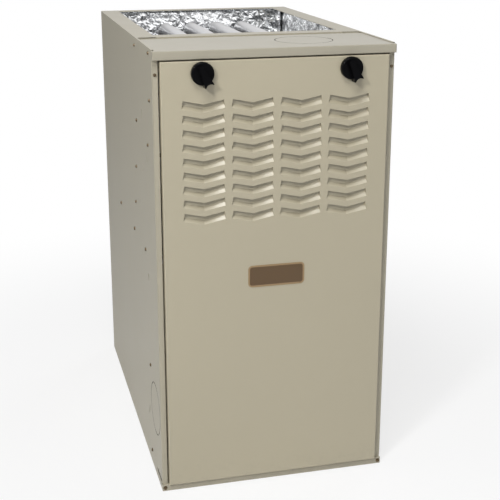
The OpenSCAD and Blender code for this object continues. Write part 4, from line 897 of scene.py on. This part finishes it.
# Latch knobs: one knob is modelled upright, leaned over and copied to the other side
knobSettings = {
    "radius": 0.0205, "discHeight": 0.0096, "proud": 0.02, "shoulder": 0.0025,
    "rim": 0.0022, "dishSlope": 0.0012, "dish": 0.0006,
    "waist": ((0.0154, 0.0045), (0.0, 0.0055), (-0.0227, 0.0088)),  # height along the grip, half width
    "sunk": 0.0004, "gripEnd": 0.0042, "notchRadius": 0.009, "notchDrop": 0.0284, "edge": 0.0011,
    "stemRadius": 0.004, "stemLength": 0.0245, "stemInside": 0.0005,
    "lean": 25.0, "place": (-0.136, -0.357, 0.8045), "apart": 0.272,
}


def makeKnob(s):
    bpy.ops.mesh.primitive_cylinder_add(vertices=72, radius=s["radius"], depth=s["discHeight"],
                                        location=(0, 0, s["discHeight"] / 2))
    disc = settled(bpy.context.object)
    editMode(disc)
    pick("EDGE", lambda a, b, e: both(a, b, 2, s["discHeight"]))
    bpy.ops.mesh.bevel(offset=s["shoulder"], segments=4, affect="EDGES")
    pick("FACE", lambda c, n: n.z > 0.99)
    bpy.ops.mesh.inset(thickness=s["rim"], depth=0)  # a shallow dish inside the rim
    bpy.ops.mesh.inset(thickness=s["dishSlope"], depth=-s["dish"])
    objectMode()
    bpy.ops.mesh.primitive_grid_add(x_subdivisions=1, y_subdivisions=2, size=1, location=(0, 0, -s["sunk"]))
    grip = settled(bpy.context.object)
    editMode(grip)
    for oldY, (y, halfWidth) in zip((0.5, 0.0, -0.5), s["waist"]):
        for side in (-1, 1):
            pick("VERT", lambda v: near(v.y, oldY) and near(v.x, side * 0.5))
            slide(x=side * (halfWidth - 0.5), y=y - oldY)
    pickAll()
    pull(z=s["proud"] + s["sunk"])
    faceOut()
    pick("EDGE", lambda a, b, e: abs(a.z - b.z) > s["proud"] / 2 and near(a.y, s["waist"][0][0]))
    bpy.ops.mesh.bevel(offset=s["gripEnd"], segments=6, affect="EDGES")
    objectMode()
    bpy.ops.mesh.primitive_cylinder_add(vertices=64, radius=s["notchRadius"], depth=4 * s["proud"],
                                        location=(0, -s["notchDrop"], 0))
    cutWith(grip, bpy.context.object)
    worn(grip, s["edge"], 40, segments=3)
    applied(disc, "BOOLEAN", object=grip, operation="UNION", solver="EXACT")
    bpy.data.objects.remove(grip)
    bpy.ops.mesh.primitive_cylinder_add(vertices=32, radius=s["stemRadius"], depth=s["stemLength"],
                                        location=(0, 0, s["stemInside"] - s["stemLength"] / 2))
    knob = joined([disc, bpy.context.object])
    knob.rotation_euler = (math.radians(90), math.radians(-s["lean"]), 0)
    knob.location = s["place"]
    return settled(knob)


leftKnob = makeKnob(knobSettings)
rightKnob = copied(leftKnob, (knobSettings["apart"], 0, 0))
for knob, side in ((leftKnob, "left"), (rightKnob, "right")):
    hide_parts(side + "_latch_knob")
    completed(knob, side + "KnobTurned", side + "_knob", "black_plastic", smooth=40.0)
print("knobs made")

# Badge: a blank plate with a raised rim
badgeSettings = {
    "halfWidth": 0.054, "halfHeight": 0.021, "corner": 0.008, "thick": 0.0008, "edge": 0.0002,
    "face": -0.357, "height": 0.425, "rim": 0.0032, "sunk": 0.0005,
}


def makeBadge(s):
    bpy.ops.mesh.primitive_plane_add(size=2, rotation=(math.radians(90), 0, 0),
                                     location=(0, s["face"], s["height"]))
    badge = bpy.context.object
    badge.scale = (s["halfWidth"], s["halfHeight"], 1)
    settled(badge)
    editMode(badge)
    pickAll()
    bpy.ops.mesh.bevel(offset=s["corner"], segments=8, affect="VERTICES")
    pickAll()
    pull(y=-s["thick"])
    faceOut()
    pick("FACE", lambda c, n: n.y < -0.9)
    bpy.ops.mesh.inset(thickness=s["rim"], depth=0)
    bpy.ops.mesh.inset(thickness=s["sunk"], depth=-s["sunk"])
    objectMode()
    worn(badge, s["edge"], 30)
    return badge


badge = makeBadge(badgeSettings)
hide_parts("badge_plate")
completed(badge, "badgePlain", "door", "badge_brown")


def onBadgeRim(c, n):
    s = badgeSettings
    return abs(c.x) > s["halfWidth"] - s["rim"] or abs(c.z - s["height"]) > s["halfHeight"] - s["rim"]


secondFinish(badge, badgeRim, onBadgeRim)

# Screws: one hex head on its washer is modelled, and copied to every place
screwSettings = {
    "washer": 0.0008, "height": 0.0026, "shank": 0.002, "shankLength": 0.007, "edge": 0.00022,
    "hex": 0.72, "rim": 0.16, "dishSlope": 0.06, "dish": 0.0006,  # the first three are shares of the radius
    "sideX": 0.22225, "front": -0.347,
    "bothSides": ((0.0325, 0.8368, 0.0042), (0.197, 0.8306, 0.0034),  # depth, height, radius
                  (0.124, 0.45, 0.0046), (0.267, 0.45, 0.0046), (0.469, 0.45, 0.0046),
                  (0.111, 0.0286, 0.0042)),
    "leftSide": ((0.0317, 0.7537, 0.0042), (0.061, 0.6676, 0.0042), (0.194, 0.688, 0.0042),
                 (0.216, 0.592, 0.004), (0.236, 0.515, 0.004), (0.104, 0.218, 0.0042)),
    "frontFaces": ((0.217, -0.351, 0.0065, 0.004), (0.217, -0.347, 0.803, 0.003),  # x, y, height, radius
                   (0.15025, -0.331, 0.449, 0.0042)),
}


def makeScrew(s, radius, place, turn):
    bpy.ops.mesh.primitive_cylinder_add(vertices=32, radius=radius, depth=s["washer"],
                                        location=(0, 0, s["washer"] / 2))
    washer = bpy.context.object
    bpy.ops.mesh.primitive_cylinder_add(vertices=6, radius=radius * s["hex"],
                                        depth=s["height"] - s["washer"] / 2,
                                        location=(0, 0, (s["height"] + s["washer"] / 2) / 2))
    head = bpy.context.object
    editMode(head)
    pick("FACE", lambda c, n: n.z > 0.9)
    bpy.ops.mesh.inset(thickness=radius * s["rim"], depth=0)
    bpy.ops.mesh.inset(thickness=radius * s["dishSlope"], depth=-s["dish"])
    objectMode()
    bpy.ops.mesh.primitive_cylinder_add(vertices=20, radius=s["shank"], depth=s["shankLength"],
                                        location=(0, 0, -s["shankLength"] / 2))
    screw = joined([washer, head, bpy.context.object])
    worn(screw, s["edge"], 35)
    screw.location = place
    screw.rotation_euler = turn
    return settled(screw)


def makeScrews(s):
    made = []
    for side in (-1, 1):
        for depth, height, radius in s["bothSides"] + (s["leftSide"] if side < 0 else ()):
            place = (side * s["sideX"], s["front"] + depth, height)
            made.append(makeScrew(s, radius, place, (0, side * math.radians(90), 0)))
        for x, y, height, radius in s["frontFaces"]:
            made.append(makeScrew(s, radius, (side * x, y, height), (math.radians(90), 0, 0)))
    return joined(made)


screws = makeScrews(screwSettings)
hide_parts("casing_screws")
completed(screws, "hexScrews", "cabinet", "bronze_screw")
print("badge and screws made")

# Foil faced linings: the face towards the air is a fine grid, crumpled inwards
foilSettings = {"step": 0.0055, "folds": ((0.034, 0.0045), (0.011, 0.0022))}  # size and height of the folds


def makeLining(node, axis, side, s):
    low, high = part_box(node)
    lining = boxAt(low, high)
    face = high[axis] if side > 0 else low[axis]
    across = [a for a in range(3) if a != axis]
    editMode(lining)
    for a in across:
        cuts = int((high[a] - low[a]) / s["step"])
        for cut in range(1, cuts):
            place, normal = [0, 0, 0], [0, 0, 0]
            place[a], normal[a] = low[a] + (high[a] - low[a]) * cut / cuts, 1
            pickAll()
            bpy.ops.mesh.bisect(plane_co=place, plane_no=normal)
    objectMode()
    group = lining.vertex_groups.new(name="crumpled")
    inside = [v.index for v in lining.data.vertices if near(v.co[axis], face)
              and all(low[a] + hair < v.co[a] < high[a] - hair for a in across)]
    group.add(inside, 1.0, "REPLACE")
    for number, (size, height) in enumerate(s["folds"]):
        creases = bpy.data.textures.new("creases%d" % number, "VORONOI")
        creases.noise_scale = size
        applied(lining, "DISPLACE", texture=creases, texture_coords="LOCAL", vertex_group="crumpled",
                direction="XYZ"[axis], mid_level=1.0, strength=side * height)
    return lining


for node, name, axis, side in (("foil_liner_left", "liningLeft", 0, 1),
                               ("foil_liner_right", "liningRight", 0, -1),
                               ("foil_liner_back", "liningBack", 1, -1)):
    lining = makeLining(node, axis, side, foilSettings)
    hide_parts(node)
    completed(lining, name, "cabinet", "foil", smooth=0)
print("linings made")
